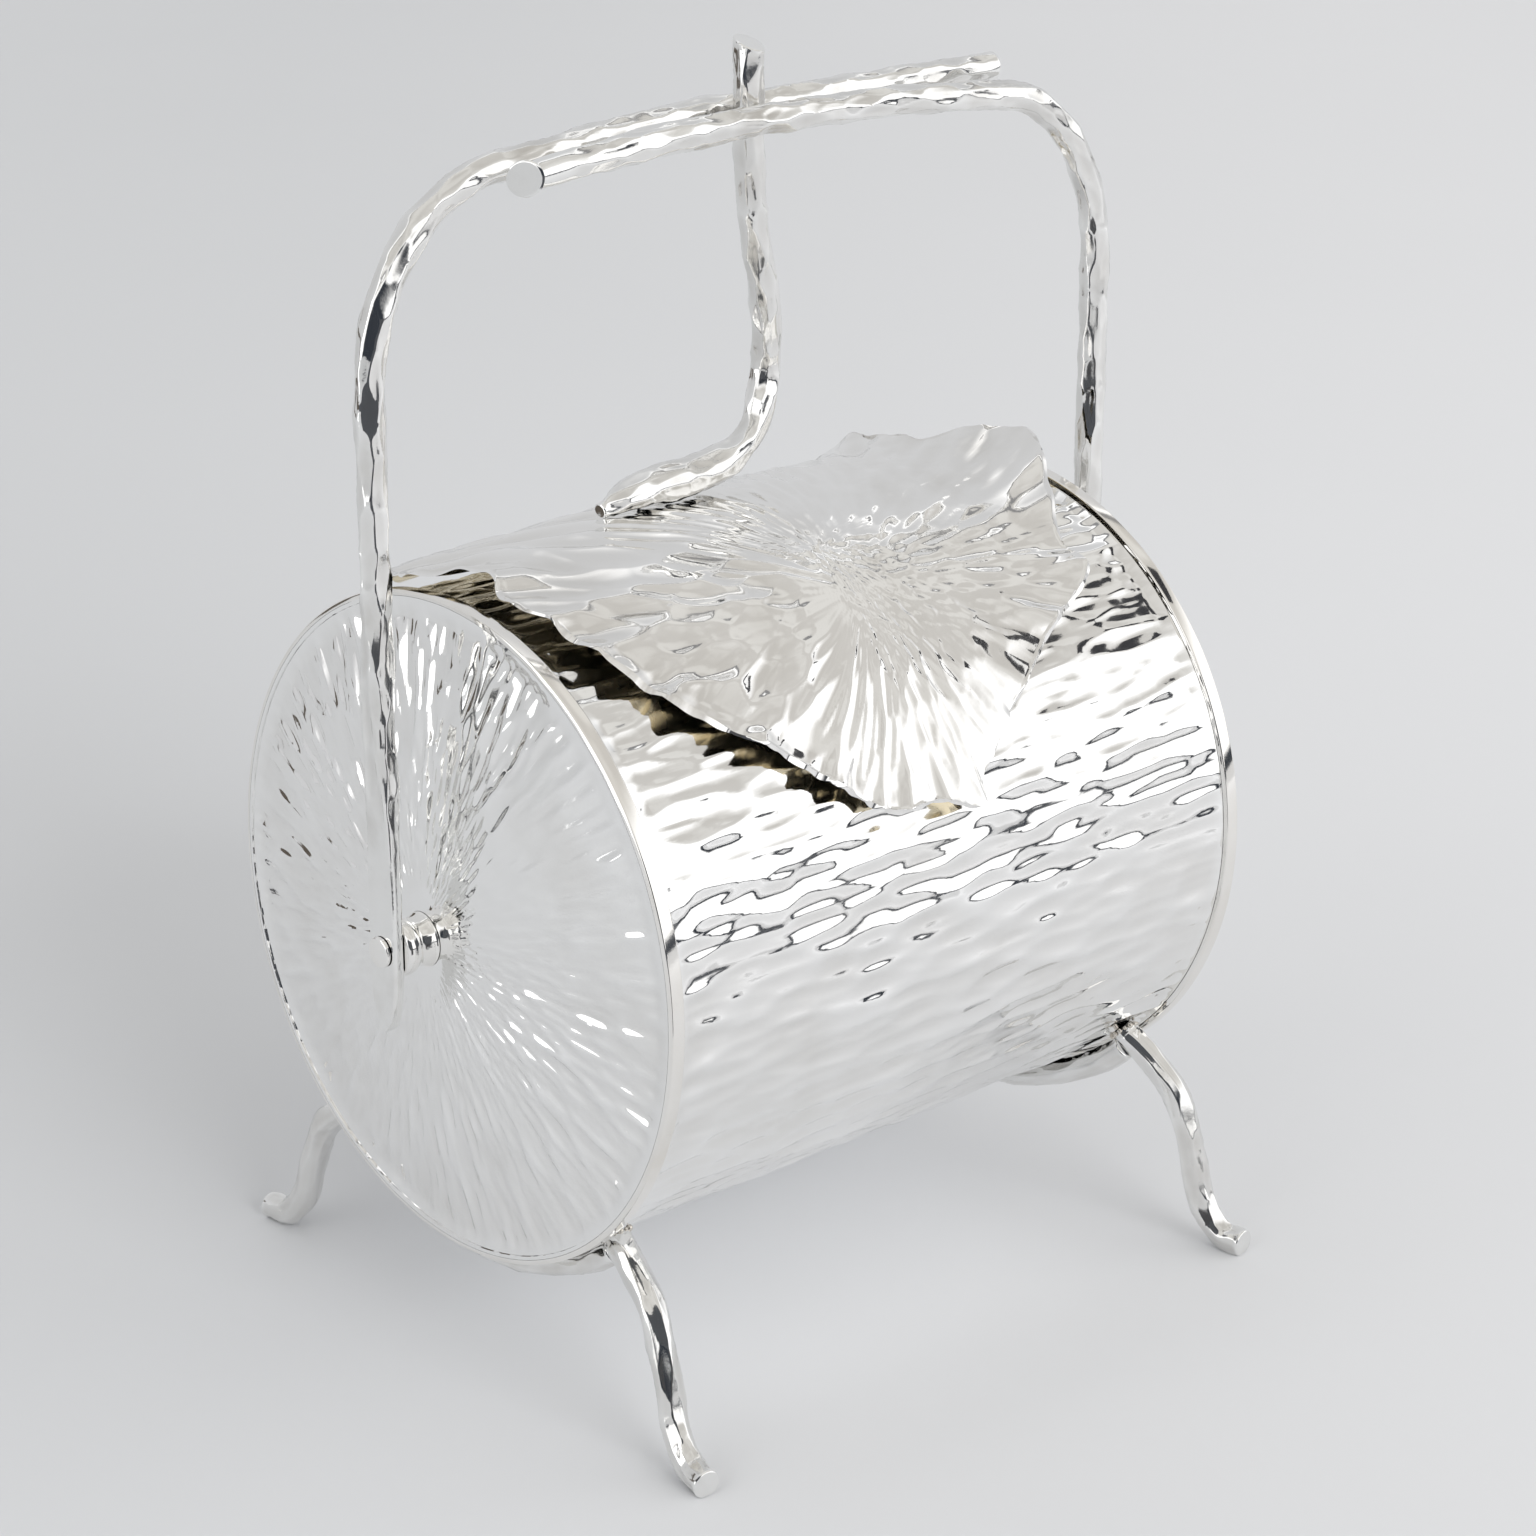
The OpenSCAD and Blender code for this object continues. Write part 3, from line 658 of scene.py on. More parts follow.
# %% Rivets and washers
play = 0.3 * mm
paddle_t = 4 * mm
paddle_in_x = boss_x + boss_len + play
head_x = paddle_in_x + paddle_t + play
head_r, head_t = 5 * mm, 1.2 * mm
washer_r, washer_t = 11 * mm, 1.5 * mm
washer_x = plate_mid_x - plate_t - plate_crown * (washer_r / flange_r) ** 2 - solder
tail_r, tail_t = 4.8 * mm, 2 * mm
tail_x = washer_x - washer_t - solder
pin_steps = 96
tail_flat, head_flat, head_turn = 0.4, 0.5, (15, 80)
rivet_profile = [(tail_r * tail_flat, tail_x - tail_t)]
rivet_profile += [(tail_r - tail_t / 2, tail_x - tail_t)]
rivet_profile += [(tail_r, tail_x - tail_t / 2), (tail_r, tail_x), (rivet_r, tail_x)]
rivet_profile += [(rivet_r, head_x), (head_r, head_x), (head_r, head_x + head_t / 2)]
head_corner = (head_r - head_t / 2, head_x + head_t / 2)
rivet_profile += rounded_corner(head_corner, head_t / 2, *head_turn, steps=5)
rivet_profile += [(head_r * head_flat, head_x + head_t)]
washer_profile = [(bore, washer_x), (washer_r, washer_x), (washer_r, washer_x - washer_t),
                  (bore, washer_x - washer_t)]

for side_name in SIDES:
    turned(side_name, "_pivot_rivet", rivet_profile, pin_steps, "polished_silver", False, 35)
    turned(side_name, "_backing_washer", washer_profile, pin_steps, "inner_silver", crease=35)

# %% [markdown]
# ## Branches
#
# Handle, stem and legs are forged rods that look like pruned branches: long facets run along them
# and their ends are cut flat. A curve with a bevel would give the round rod, but it can't carry
# the marks' directions, so each branch is a row of rings along its path. The way along the rod and
# the place round it are the stroke coordinates.

# %% Smooth curves and even steps along them
CURVE_STEPS = 40


def smooth_curve(knots, steps=CURVE_STEPS):
    """A smooth curve from the second knot to the last but one."""
    knots = np.array(knots, float)
    t = np.arange(steps)[:, None] / steps
    rows = []
    for a, b, c, d in zip(knots, knots[1:], knots[2:], knots[3:]):
        bend, twist = 2 * a - 5 * b + 4 * c - d, 3 * b - a - 3 * c + d
        rows.append(0.5 * (2 * b + (c - a) * t + bend * t ** 2 + twist * t ** 3))
    return np.vstack(rows + [knots[-2:-1]])


def way_along(path):
    return np.concatenate([[0], np.cumsum(np.linalg.norm(np.diff(path, axis=0), axis=1))])


def even_steps(path, step, extra=None):
    """The path again in even steps, and the extra columns that go with it."""
    way = way_along(path)
    new = np.linspace(0, way[-1], max(2, int(way[-1] / step) + 1))
    table = path if extra is None else np.column_stack([path, extra])
    return np.column_stack([np.interp(new, way, column) for column in table.T])


print("a smooth curve through five knots has", len(smooth_curve(np.eye(5, 3), 4)), "points")

# %% Rings along a path
ROD_SIDES = 56
end_bevel, cut_room = 0.4 * mm, 0.8 * mm
bevel_shares, cut_shares = (1, 1.6), (0.5, 0.8, 1)


def rings_along(path, sizes, across):
    """Ovals along a path: half width, half depth and the depth's limit for each point."""
    ahead = np.vstack([path[1:], path[-1:]]) - np.vstack([path[:1], path[:-1]])
    along = ahead / np.linalg.norm(ahead, axis=1)[:, None]
    wide = across - along * (along @ across)[:, None]
    wide /= np.linalg.norm(wide, axis=1)[:, None]
    deep = np.cross(along, wide)
    angle = 2 * np.pi * np.arange(ROD_SIDES) / ROD_SIDES
    reach = sizes[:, :1] * np.cos(angle)
    depth = np.clip(sizes[:, 1:2] * np.sin(angle), -sizes[:, 2:], sizes[:, 2:])
    rings = path[:, None] + wide[:, None] * reach[..., None] + deep[:, None] * depth[..., None]
    return rings, along


def capped(rings):
    """Rings with a small bevel at both ends, so that a cut end catches a thin line of light."""
    def bevelled(last, before):
        centre = last.mean(0)
        out = centre - before.mean(0)
        size = np.linalg.norm(last - centre, axis=1).mean()
        side = last - end_bevel * out / np.linalg.norm(out)
        inner = [centre + (last - centre) * (1 - share * end_bevel / size)
                 for share in bevel_shares]
        return [side] + inner
    first, last = bevelled(rings[0], rings[1]), bevelled(rings[-1], rings[-2])
    return np.concatenate([first[::-1], rings[1:-1], last])


def cut_slanted(rings, along, place, normal, flare=0.0):
    """The rings up to a slanted cut, with the last ones slid along the rod onto the cut's plane."""
    beyond = (rings - place) @ normal
    whole = int(np.argmax(beyond.max(1) > -cut_room)) - 1
    slide = -(beyond[whole] / (along[whole] @ normal))[:, None] * along[whole]
    ends = []
    for share in cut_shares:
        ring = rings[whole] + share * slide
        ends.append(ring + (ring - ring.mean(0)) * flare * share ** 3)
    return np.concatenate([rings[:whole + 1], ends])


print("rods have", ROD_SIDES, "sides")

# %% One branch from its rings
rod_stroke = (12 * mm, 3.4 * mm)
bark_depth, bark_lift, bark_softness, bark_drift = 1.4 * mm, 0.5, 0.03, 0.35
bark_wave, bark_wave_length = 0.15 * mm, 22 * mm
end_fade = 2 * mm


def branch(name, rings, hammer, seed, stroke_size=rod_stroke):
    """A struck branch. The hammer's weight is given for each ring."""
    rings = capped(rings)
    n = len(rings)
    centres = rings.mean(1)
    way = way_along(centres)
    total = n * ROD_SIDES
    points = np.vstack([rings.reshape(-1, 3), centres[:1], centres[-1:]])
    faces = grid_faces(n, ROD_SIDES) + fan(total, 0, ROD_SIDES, flipped=True)
    faces += fan(total + 1, total - ROD_SIDES, ROD_SIDES)
    piece = new_piece(name, points, faces)
    size = np.linalg.norm(rings - centres[:, None], axis=2)
    angle = 2 * np.pi * np.arange(ROD_SIDES) / ROD_SIDES
    stroke = np.empty((n, ROD_SIDES, 3))
    stroke[..., 0] = way[:, None] / stroke_size[0]
    stroke[..., 1] = size * np.cos(angle) / stroke_size[1]
    stroke[..., 2] = size * np.sin(angle) / stroke_size[1]
    weight = np.concatenate([[0, 0], hammer, [0, 0]])
    weight *= ease((way - end_bevel) / end_fade) * ease((way[-1] - end_bevel - way) / end_fade)
    stroke = np.vstack([stroke.reshape(-1, 3), np.zeros((2, 3))])
    weight = np.concatenate([np.repeat(weight, ROD_SIDES), [0, 0]])
    return struck(piece, stroke, weight, "branch_silver", bark_depth, bark_wave, seed,
                  bark_lift, bark_softness, bark_wave_length, bark_drift)


print("strokes on branches are", rod_stroke, "m")

# %% [markdown]
# ## Handle branches
#
# The left branch starts as a flat paddle on its pivot, rises as an arm, bends over the top and
# runs along the back of the grip; the right one mirrors it and lies in front. The paddle is a rod
# that was beaten flat, so its rings are ovals whose depth is limited. The paddle and the right
# branch's free end are smoother than the rest. The rivet's hole is left out, as boss and rivet
# head hide it.

# %% Handle branches
rod_r = 4.875 * mm
paddle_half, paddle_drop, paddle_top = 6.5 * mm, 27 * mm, 20 * mm
round_from = 100 * mm
handle_h = 244.5 * mm
bend_w, bend_h, grip_arch = 52 * mm, 62 * mm, 5 * mm
arm_x = paddle_in_x + paddle_t / 2
arm_top = handle_h - grip_arch - bend_h
grip_x = arm_x - bend_w
stem_set, stem_r, stem_seat = 5 * mm, 5 * mm, 0.3 * mm
grip_side = stem_r + rod_r + stem_seat
handle_step = 1.1 * mm
arm_points, bend_points, grip_points = 400, 120, 300
tip_share, tip_least = 0.8, 0.2
bark_rise, neck_fade = 45 * mm, 8 * mm
paddle_bark, neck_bark = 0.12, 0.15
neck_thinning, neck_flare = 0.1, 0.22
ALONG_X, ALONG_Y = np.eye(3)[:2]


def handle_line(side, lean, grip_y, reach, droop):
    """Paddle, arm, bend and grip in even steps."""
    z = np.linspace(-paddle_drop, arm_top, arm_points)
    sway = lean * ease((z - paddle_top) / (round_from - paddle_top))
    arm = np.column_stack([np.full_like(z, arm_x), sway, z])
    t = np.linspace(0, np.pi / 2, bend_points)[1:]
    bend = np.column_stack([grip_x + bend_w * np.cos(t), np.full_like(t, lean),
                            arm_top + bend_h * np.sin(t)])
    x = np.linspace(grip_x, -reach, grip_points)[1:]
    sag = grip_arch * np.maximum(x / grip_x, 0) ** 2 + droop * np.minimum(x / reach, 0) ** 2
    grip = np.column_stack([x, grip_y + (lean - grip_y) * ease(x / grip_x), handle_h - sag])
    line = even_steps(np.vstack([arm, bend, grip]), handle_step)
    return line * (side, 1, 1) + (0, 0, axis_h)


def handle_sizes(z):
    """Half width, half depth and the depth's limit at heights above the pivot."""
    t = ease((z - paddle_top) / (round_from - paddle_top))
    from_tip = np.minimum(1, (z + paddle_drop) / (tip_share * paddle_drop))
    tip = np.maximum(tip_least, np.sqrt(np.maximum(0, 1 - (1 - from_tip) ** 2)))
    half = paddle_half * tip * (1 - t) + rod_r * t
    return np.column_stack([half, np.full_like(z, rod_r), paddle_t / 2 * (1 - t) + rod_r * t])


def handle_branch(side_name, lean, grip_y, reach, droop, neck, seed, cut=None):
    """One side of the handle. A neck is a smooth, thinner stretch before a slanted, flared cut."""
    line = handle_line(SIDES[side_name], lean, grip_y, reach, droop)
    sizes = handle_sizes(line[:, 2] - axis_h)
    left = way_along(line)[-1] - way_along(line)
    sizes *= (1 - neck_thinning * (1 - ease(left / neck)))[:, None] if neck else 1
    rings, along = rings_along(line, sizes, ALONG_Y)
    rise = line[:, 2] - axis_h - paddle_top
    weight = paddle_bark + (1 - paddle_bark) * ease(rise / bark_rise)
    weight *= neck_bark + (1 - neck_bark) * ease((left - neck) / neck_fade)
    if cut is not None:
        rings = cut_slanted(rings, along, line[-1], cut / np.linalg.norm(cut), neck_flare)
        weight = np.interp(np.arange(len(rings)), np.arange(len(weight)), weight)
    piece = branch(side_name + "_handle_branch", rings, weight, seed)
    return handed_over(piece, "handle", "branch_silver", side_name + "_handle_branch")


handle_branch("left", lean=0, grip_y=-stem_set + grip_side, reach=114 * mm, droop=0, neck=0,
              seed=11.0)
handle_branch("right", lean=-13 * mm, grip_y=-stem_set - grip_side, reach=100 * mm, droop=6 * mm,
              neck=13 * mm, seed=12.0, cut=np.array((-0.88, -0.47, 0.05)))

# %% [markdown]
# ## Saddles and legs
#
# Under each end of the drum lies a flattened branch, the saddle, shaped to the drum, and a leg
# stands on the wall at each of its ends. The leg comes out of the wall, bends down a shin and out
# along a toe. The rings of a saddle that would run into the wall are pushed out to it, which gives
# the hollow side without a boolean, and a toe's points below the floor are lifted to it. A leg's
# first ring is slid along the rod onto the wall, and is kept as the seam that the solder follows.

# %% Saddles
leg_r = 4.7 * mm
saddle_half, saddle_t = 8.5 * mm, 9.5 * mm
root_angle = {"left": math.radians(37), "right": math.radians(44)}
saddle_gap, saddle_points, saddle_swell = 0.5 * mm, 130, 1.3
saddle_x = end_x - band_w - saddle_gap - saddle_half
saddle_mid = drum_r + leg_r
leg_stroke = (16 * mm, 3.2 * mm)


def saddle(side_name, seed):
    span = root_angle[side_name]
    end = span - leg_r / 2 / saddle_mid
    angle = np.linspace(-end, end, saddle_points)
    path = np.column_stack([np.full_like(angle, SIDES[side_name] * saddle_x),
                            saddle_mid * np.sin(angle), axis_h - saddle_mid * np.cos(angle)])
    t = ease(saddle_swell * (1 - np.abs(angle) / span))
    depth = leg_r + (saddle_t - 2 * leg_r) * t
    sizes = np.column_stack([leg_r + (saddle_half - leg_r) * t, depth, depth])
    rings, _ = rings_along(path, sizes, ALONG_X)
    out = rings[..., 1:] - (0, axis_h)
    far = np.linalg.norm(out, axis=2)
    rings[..., 1:] = (0, axis_h) + out * (np.maximum(far, drum_r + solder) / far)[..., None]
    piece = branch(side_name + "_saddle", rings, np.ones(len(rings)), seed, leg_stroke)
    return handed_over(piece, "bucket", "branch_silver", side_name + "_saddle")


for side_name in SIDES:
    saddle(side_name, seed=20.0 + SIDES[side_name])

# %% Legs
toe_out, toe_flat = 15 * mm, 0.4 * mm
leg_step, root_clear = 0.9 * mm, 1 * mm
SLIDE_ROUNDS = 4
leg_shape = [(0.22, 0.87), (0.41, 0.735), (0.51, 0.56), (0.58, 0.38), (0.66, 0.17), (0.82, 0.02),
             (1, 0)]
root_seams = []


def leg_line(angle, splay):
    """A leg at the back right, from inside the drum's wall to its toe, in even steps."""
    root = np.array((saddle_x, drum_r * math.sin(angle), axis_h - drum_r * math.cos(angle)))
    toe = np.array((saddle_x + splay, drum_r + toe_out, leg_r - toe_flat))
    shin = [root + (toe - root) * (out, out, 1 - up) for out, up in leg_shape]
    inward = 2 * leg_r * (root - shin[0]) / np.linalg.norm(root - shin[0])
    knots = [root + 2 * inward, root + inward] + shin + [toe + (0, 2 * leg_r, 0)]
    return even_steps(smooth_curve(knots), leg_step)


def slid_to_wall(ring, along):
    """The ring moved along the rod until each of its points lies on the drum's wall."""
    seat = ring.copy()
    for _ in range(SLIDE_ROUNDS):
        out = seat[:, 1:] - (0, axis_h)
        far = np.linalg.norm(out, axis=1)
        seat -= ((far - drum_r - solder) * far / (out @ along[1:]))[:, None] * along
    return seat


def leg(name, side_name, end, splay, seed):
    line = leg_line(root_angle[side_name], splay) * (SIDES[side_name], end, 1)
    rings, along = rings_along(line, np.full((len(line), 3), leg_r), ALONG_X)
    clear = np.hypot(rings[..., 1], rings[..., 2] - axis_h).min(1) > drum_r + root_clear
    first = int(np.argmax(clear))
    seat = slid_to_wall(rings[first], along[first])
    root_seams.append(seat)
    rings = np.concatenate([[seat], rings[first:]])
    rings[..., 2] = np.maximum(rings[..., 2], 0)
    piece = branch(name, rings, np.ones(len(rings)), seed, leg_stroke)
    place = points_of(piece)
    place[:, 2] = np.maximum(place[:, 2], 0)
    piece.data.vertices.foreach_set("co", place.ravel())
    return handed_over(piece, "bucket", "branch_silver", name)


seed = 31.0
for end_name, end, splay in (("front", -1, 12.5 * mm), ("back", 1, 2.5 * mm)):
    for side_name in SIDES:
        leg(f"{end_name}_{side_name}_leg", side_name, end, splay, seed)
        seed += 1

# %% [markdown]
# ## Leaf lid
#
# The lid is a lobed leaf cut from sheet, veined with strokes that spread from its heart, and bent
# round the drum with its tips curled up. A flat outline with a displace modifier would not follow
# the veins, so the sheet is a fan of rings from the heart out to the edge. Its place along and
# across the strokes is the distance and the direction from the point where the veins meet: long
# thin veins to the front and right, broad bowls to the left. The sheet thins towards its edge,
# which is what gives the real leaf its bright thin line.

# %% Where the leaf lies
leaf_gap, leaf_thick, leaf_thin = 2.8 * mm, 1.4 * mm, 0.8 * mm
leaf_r = rim_r + leaf_gap + leaf_thick
leaf_inset = 6 * mm
leaf_half = end_x - leaf_inset
front_reach, back_reach = 138 * mm, 80 * mm
leaf_crown, leaf_curl = 4.8 * mm, 12 * mm
curl_from, crown_reach, edge_steps = 0.7, 1.1, 16
heart = np.array((-0.02 * leaf_half, 0.275 * front_reach))
leaf_edge = [
    (0.94, 0.13, 1), (0.77, 0.40, 0.25), (0.75, 0.54, 0.33), (0.53, 0.65, 0.08), (0.29, 0.80, 0),
    (0.12, 0.92, 0.08), (0.05, 1, 0.25), (-0.09, 0.96, 0.33), (-0.24, 0.955, 0.17),
    (-0.37, 0.875, 0), (-0.52, 0.76, 0.04), (-0.68, 0.64, 0), (-0.82, 0.49, 0.08),
    (-0.90, 0.31, 0), (-0.96, 0.16, 0.04), (-0.92, 0.01, 0.21), (-1, -0.26, 0.04),
    (-0.91, -0.66, 0), (-0.71, -0.95, 0.17), (-0.38, -0.82, 0), (-0.10, -0.72, 0),
    (0.24, -0.88, 0), (0.56, -1, 0.25), (0.70, -0.82, 0.17), (0.87, -0.72, 0.67),
    (0.83, -0.31, 0.25), (0.90, -0.04, 0.58)]


def leaf_face(x, arc):
    """Radius of the leaf's upper face, at a place along the drum and an arc from its top."""
    crown = leaf_crown * (1 - (x / end_x) ** 2)
    return leaf_r + crown * (1 - (arc / (crown_reach * front_reach)) ** 2)


def on_leaf(x, arc, r):
    angle = arc / leaf_r
    return np.stack([x, -r * np.sin(angle), axis_h + r * np.cos(angle)], -1)


knots = [(x * leaf_half, arc * (back_reach if arc < 0 else front_reach), curl)
         for x, arc, curl in leaf_edge]
edge = smooth_curve(knots[-1:] + knots + knots[:2], edge_steps)[:-1]
print("leaf edge has", len(edge), "points")

# %% The leaf's two skins
bowl_w, vein_w = 11 * mm, 6.5 * mm
bowl_aspect, vein_aspect = 2.5, 6
veins_from, vein_core = np.array((-2 * mm, 57 * mm)), 18 * mm
lip_h, front_dip = 1.2 * mm, 4 * mm
first_ring, upper_rings, lower_rings = 0.012, 90, 34
thin_from, ripple_from, lip_from = 0.6, 0.75, 0.92
slow_ripple, quick_ripple, quick_phase = 27 * mm, 15 * mm, 2
ripple_lift, slow_height, quick_height = 0.3, 0.8, 0.5
lip_growth, lip_start = 3, 0.3
dip_from, dip_over, bowls_from, bowls_over = 0.05, 0.5, 0.2, 0.6
weight_growth = 0.8


def edge_ripple():
    """Small crinkles round the leaf's edge, in metres above the sheet."""
    way = way_along(edge[:, :2])
    slow = np.sin(2 * np.pi * np.round(way[-1] / slow_ripple) * way / way[-1])
    turns = 2 * np.pi * np.round(way[-1] / quick_ripple)
    quick = np.sin(turns * way / way[-1] + quick_phase)
    return (ripple_lift + slow_height * slow + quick_height * quick) * mm


def edge_lip():
    """How far the last of the edge is turned up: most at the left of the front."""
    to_left, to_front = -edge[:, 0] / leaf_half, edge[:, 1] / front_reach
    turned_left = ease(to_left * lip_growth - lip_start)
    return lip_h * turned_left * ease(to_front * lip_growth - lip_start)


def leaf_skin(shares, under):
    """One skin of the leaf: rings from the heart to the edge, lowered if under is one."""
    u = np.array(shares)[:, None]
    x = heart[0] + (edge[:, 0] - heart[0]) * u
    arc = heart[1] + (edge[:, 1] - heart[1]) * u
    curl = leaf_curl * edge[:, 2] * np.maximum(0, (u - curl_from) / (1 - curl_from)) ** 2
    thick = leaf_thick + (leaf_thin - leaf_thick) * ease((u - thin_from) / (1 - thin_from))
    rippled = ease((u - ripple_from) / (1 - ripple_from))
    r = leaf_face(x, arc) + curl + edge_ripple() * rippled - thick * under
    r += edge_lip() * ease((u - lip_from) / (1 - lip_from))
    r -= front_dip * ease((arc / front_reach - dip_from) / dip_over)
    to_right, to_front = x - veins_from[0], arc - veins_from[1]
    away = np.sqrt(to_right ** 2 + to_front ** 2 + vein_core ** 2)
    bowls = ease((-to_right / away - bowls_from) / bowls_over)
    width = vein_w + (bowl_w - vein_w) * bowls
    aspect = vein_aspect + (bowl_aspect - vein_aspect) * bowls
    stroke = spread_strokes(to_right, to_front, width, vein_core, aspect)
    return on_leaf(x, arc, r), stroke, width / bowl_w * (away / STROKE_REACH) ** weight_growth


upper, upper_stroke, upper_weight = leaf_skin(np.linspace(first_ring, 1, upper_rings), 0)
lower, lower_stroke, lower_weight = leaf_skin(np.linspace(1, first_ring, lower_rings), 1)
points = np.concatenate([upper, lower])
rows, columns = points.shape[:2]
total = rows * columns
middle = on_leaf(*heart, leaf_face(*heart))
under_middle = on_leaf(*heart, leaf_face(*heart) - leaf_thick)
faces = grid_faces(rows, columns) + fan(total, 0, columns)
faces += fan(total + 1, total - columns, columns, flipped=True)
leaf = new_piece("leaf_lid", np.vstack([points.reshape(-1, 3), middle, under_middle]), faces)
print("leaf sheet has", len(leaf.data.polygons), "faces")

# %% Striking the leaf
leaf_blow, leaf_wave, leaf_wave_length = 3 * mm, 1.8 * mm, 24 * mm
leaf_lift, leaf_drift = 0.5, 0.6
stroke = np.concatenate([upper_stroke, lower_stroke]).reshape(-1, 3)
weight = np.concatenate([upper_weight, -lower_weight]).ravel()
stroke, weight = np.vstack([stroke, np.zeros((2, 3))]), np.concatenate([weight, [0, 0]])
struck(leaf, stroke, weight, "leaf_silver", leaf_blow, leaf_wave, seed=3.0, lift=leaf_lift,
       softness=crisp, length=leaf_wave_length, drift=leaf_drift)
leaf.data.materials.append(silvers["underside_silver"])
first_under = len(upper) * columns
for face in leaf.data.polygons[first_under:(rows - 1) * columns]:
    face.material_index = 1
handed_over(leaf, "handle", "leaf_silver", "leaf_lid", crease=60)

# %% [markdown]
# ## Stem
#
# The stem is a branch that lies on the leaf with a broad foot, bows out in a knee and rises
# between the two grips, where it was cut at a slant. It is swept like the other branches. Its last
# rings are slid along the rod onto the slanted plane of the cut.

# %% Stem
stem_rise, stem_slant, stem_skew = 22.5 * mm, math.radians(22), math.radians(9)
knee_out, knee_h = 24 * mm, 38 * mm
foot_t, foot_w, foot_reach = 13 * mm, 14 * mm, 50 * mm
foot_arc = -math.radians(6) * leaf_r
foot_shape = [(1.25, 0.4), (1, 0.4), (0.78, 0.8), (0.45, 1), (0.2, 1)]
knee_shape = [(0.15, 0.24), (0.53, 0.37), (0.81, 0.58), (1, 1)]
stem_shape = [(0.25, 0.05), (0.63, -0.06), (1, 0)]


def foot_at(x, above):
    return on_leaf(x, foot_arc, leaf_face(x, foot_arc) + above)


def stem_line():
    """The stem's path, with half widths and half depths beside it."""
    foot = [foot_at(-foot_reach * a, foot_t / 2 * b + stem_seat) for a, b in foot_shape]
    bow = [foot_at(knee_out * a, knee_h * b) for a, b in knee_shape]
    grip = np.array((-stem_set / 2, -stem_set, axis_h + handle_h))
    upper = [bow[-1] + (grip - bow[-1]) * a + (knee_out * b, 0, 0) for a, b in stem_shape]
    top = grip + (0, 0, stem_rise + 2 * stem_r)
    path = smooth_curve(foot + bow + upper + [top, top + (0, 0, stem_rise)])
    toes = smooth_curve([(b * foot_w / 2, b * foot_t / 2)
                         for _, b in foot_shape + foot_shape[-1:]])
    step = np.arange(len(path))
    neck = ease((step - len(toes) + 1) / (2 * CURVE_STEPS))[:, None]
    sizes = toes[np.minimum(step, len(toes) - 1)] * (1 - neck) + stem_r * neck
    return even_steps(path, leg_step, sizes), grip + (0, 0, stem_rise)


line, cut = stem_line()
cut_plane = np.array((math.cos(stem_slant) * math.sin(stem_skew), -math.sin(stem_slant),
                      math.cos(stem_slant) * math.cos(stem_skew)))
rings, along = rings_along(line[:, :3], line[:, [3, 4, 4]], ALONG_Y)
rings = cut_slanted(rings, along, cut, cut_plane)
stem = branch("lid_stem", rings, np.ones(len(rings)), seed=41.0)
handed_over(stem, "handle", "branch_silver", "lid_stem")

# %% [markdown]
# ## Solder
#
# Where a leg stands on the drum's wall, drops of brownish solder were left. They repeat along a
# seam, so a second tree puts a small ball on each point of the seam, with its own size from a
# fixed seed, and makes the balls real mesh.

# %% The tree of solder drops
def drop_tree():
    """Geometry Nodes that put a drop on every point of a seam."""
    inputs = {"Smallest": "Float", "Largest": "Float", "Seed": "Int"}
    tree, given = new_tree("solder_drops", inputs)
    ball = Wire.node(tree, "GeometryNodeMeshIcoSphere", None, {"Radius": 1.0, "Subdivisions": 2})
    drop = Wire.node(tree, "GeometryNodeSetShadeSmooth", None, {0: ball})
    size = Wire.node(tree, "FunctionNodeRandomValue", {"data_type": "FLOAT"}, {
        "Min": given.other("Smallest"), "Max": given.other("Largest"),
        "Seed": given.other("Seed")}, "Value")
    put = Wire.node(tree, "GeometryNodeInstanceOnPoints", None, {
        "Points": given, "Instance": drop, "Scale": size})
    return finished_tree(given, put)


solder_drops = drop_tree()
print("solder drops take", [item.name for item in solder_drops.interface.items_tree][1:-1])

# %% Solder along the seams
drop_every = 4
smallest_drop, largest_drop, drop_seed = 0.5 * mm, 1.3 * mm, 4
seam = np.array(root_seams)[:, ::drop_every]
leg_solder = shaped(new_piece("leg_solder", seam.reshape(-1, 3), []), solder_drops, {
    "Smallest": smallest_drop, "Largest": largest_drop, "Seed": drop_seed,
    "Material": silvers["solder_silver"]})
handed_over(leg_solder, "bucket", "branch_silver")

# %% [markdown]
# ## Floor, room and light
#
# The bucket stands on a pale floor in a white room. The floor's colour has painted light in it:
# darker at the left and lighter at the right, for the light from the right. Bright metal is drawn
# by what stands round it, so the room has a beige ceiling with a dark and a white stripe, a dark
# side behind the camera and a thin dark edge along the floor, which give the dark outlines of the
# marks. The room is a world shader that only looks at directions. Things that stand near are real:
# dark cards and a white panel that only the metal sees. The lamps light the floor and are left out
# of the reflections. One of them lies under the drum, for the light that the belly throws back on
# the floor.

# %% Floor
floor_r, floor_sides = 12, 64
# Painted light: the floor's colour goes from a darker paper at the left to a lighter one at the
# right, painted in for the light from the right; a faint noise adds random tone.
painted_shade_paper, painted_light_paper = (0.585, 0.595, 0.61), (0.69, 0.695, 0.71)
painted_light_from, painted_light_to, paper_cloud, paper_cloud_share = -0.6, 0.8, 3.0, 0.1
floor_material = bpy.data.materials.new("pale_floor")
tree = blank(floor_material)
place = Wire.node(tree, "ShaderNodeTexCoord", out="Object")
to_right = vector_math("DOT_PRODUCT", place, tuple(level), out="Value")
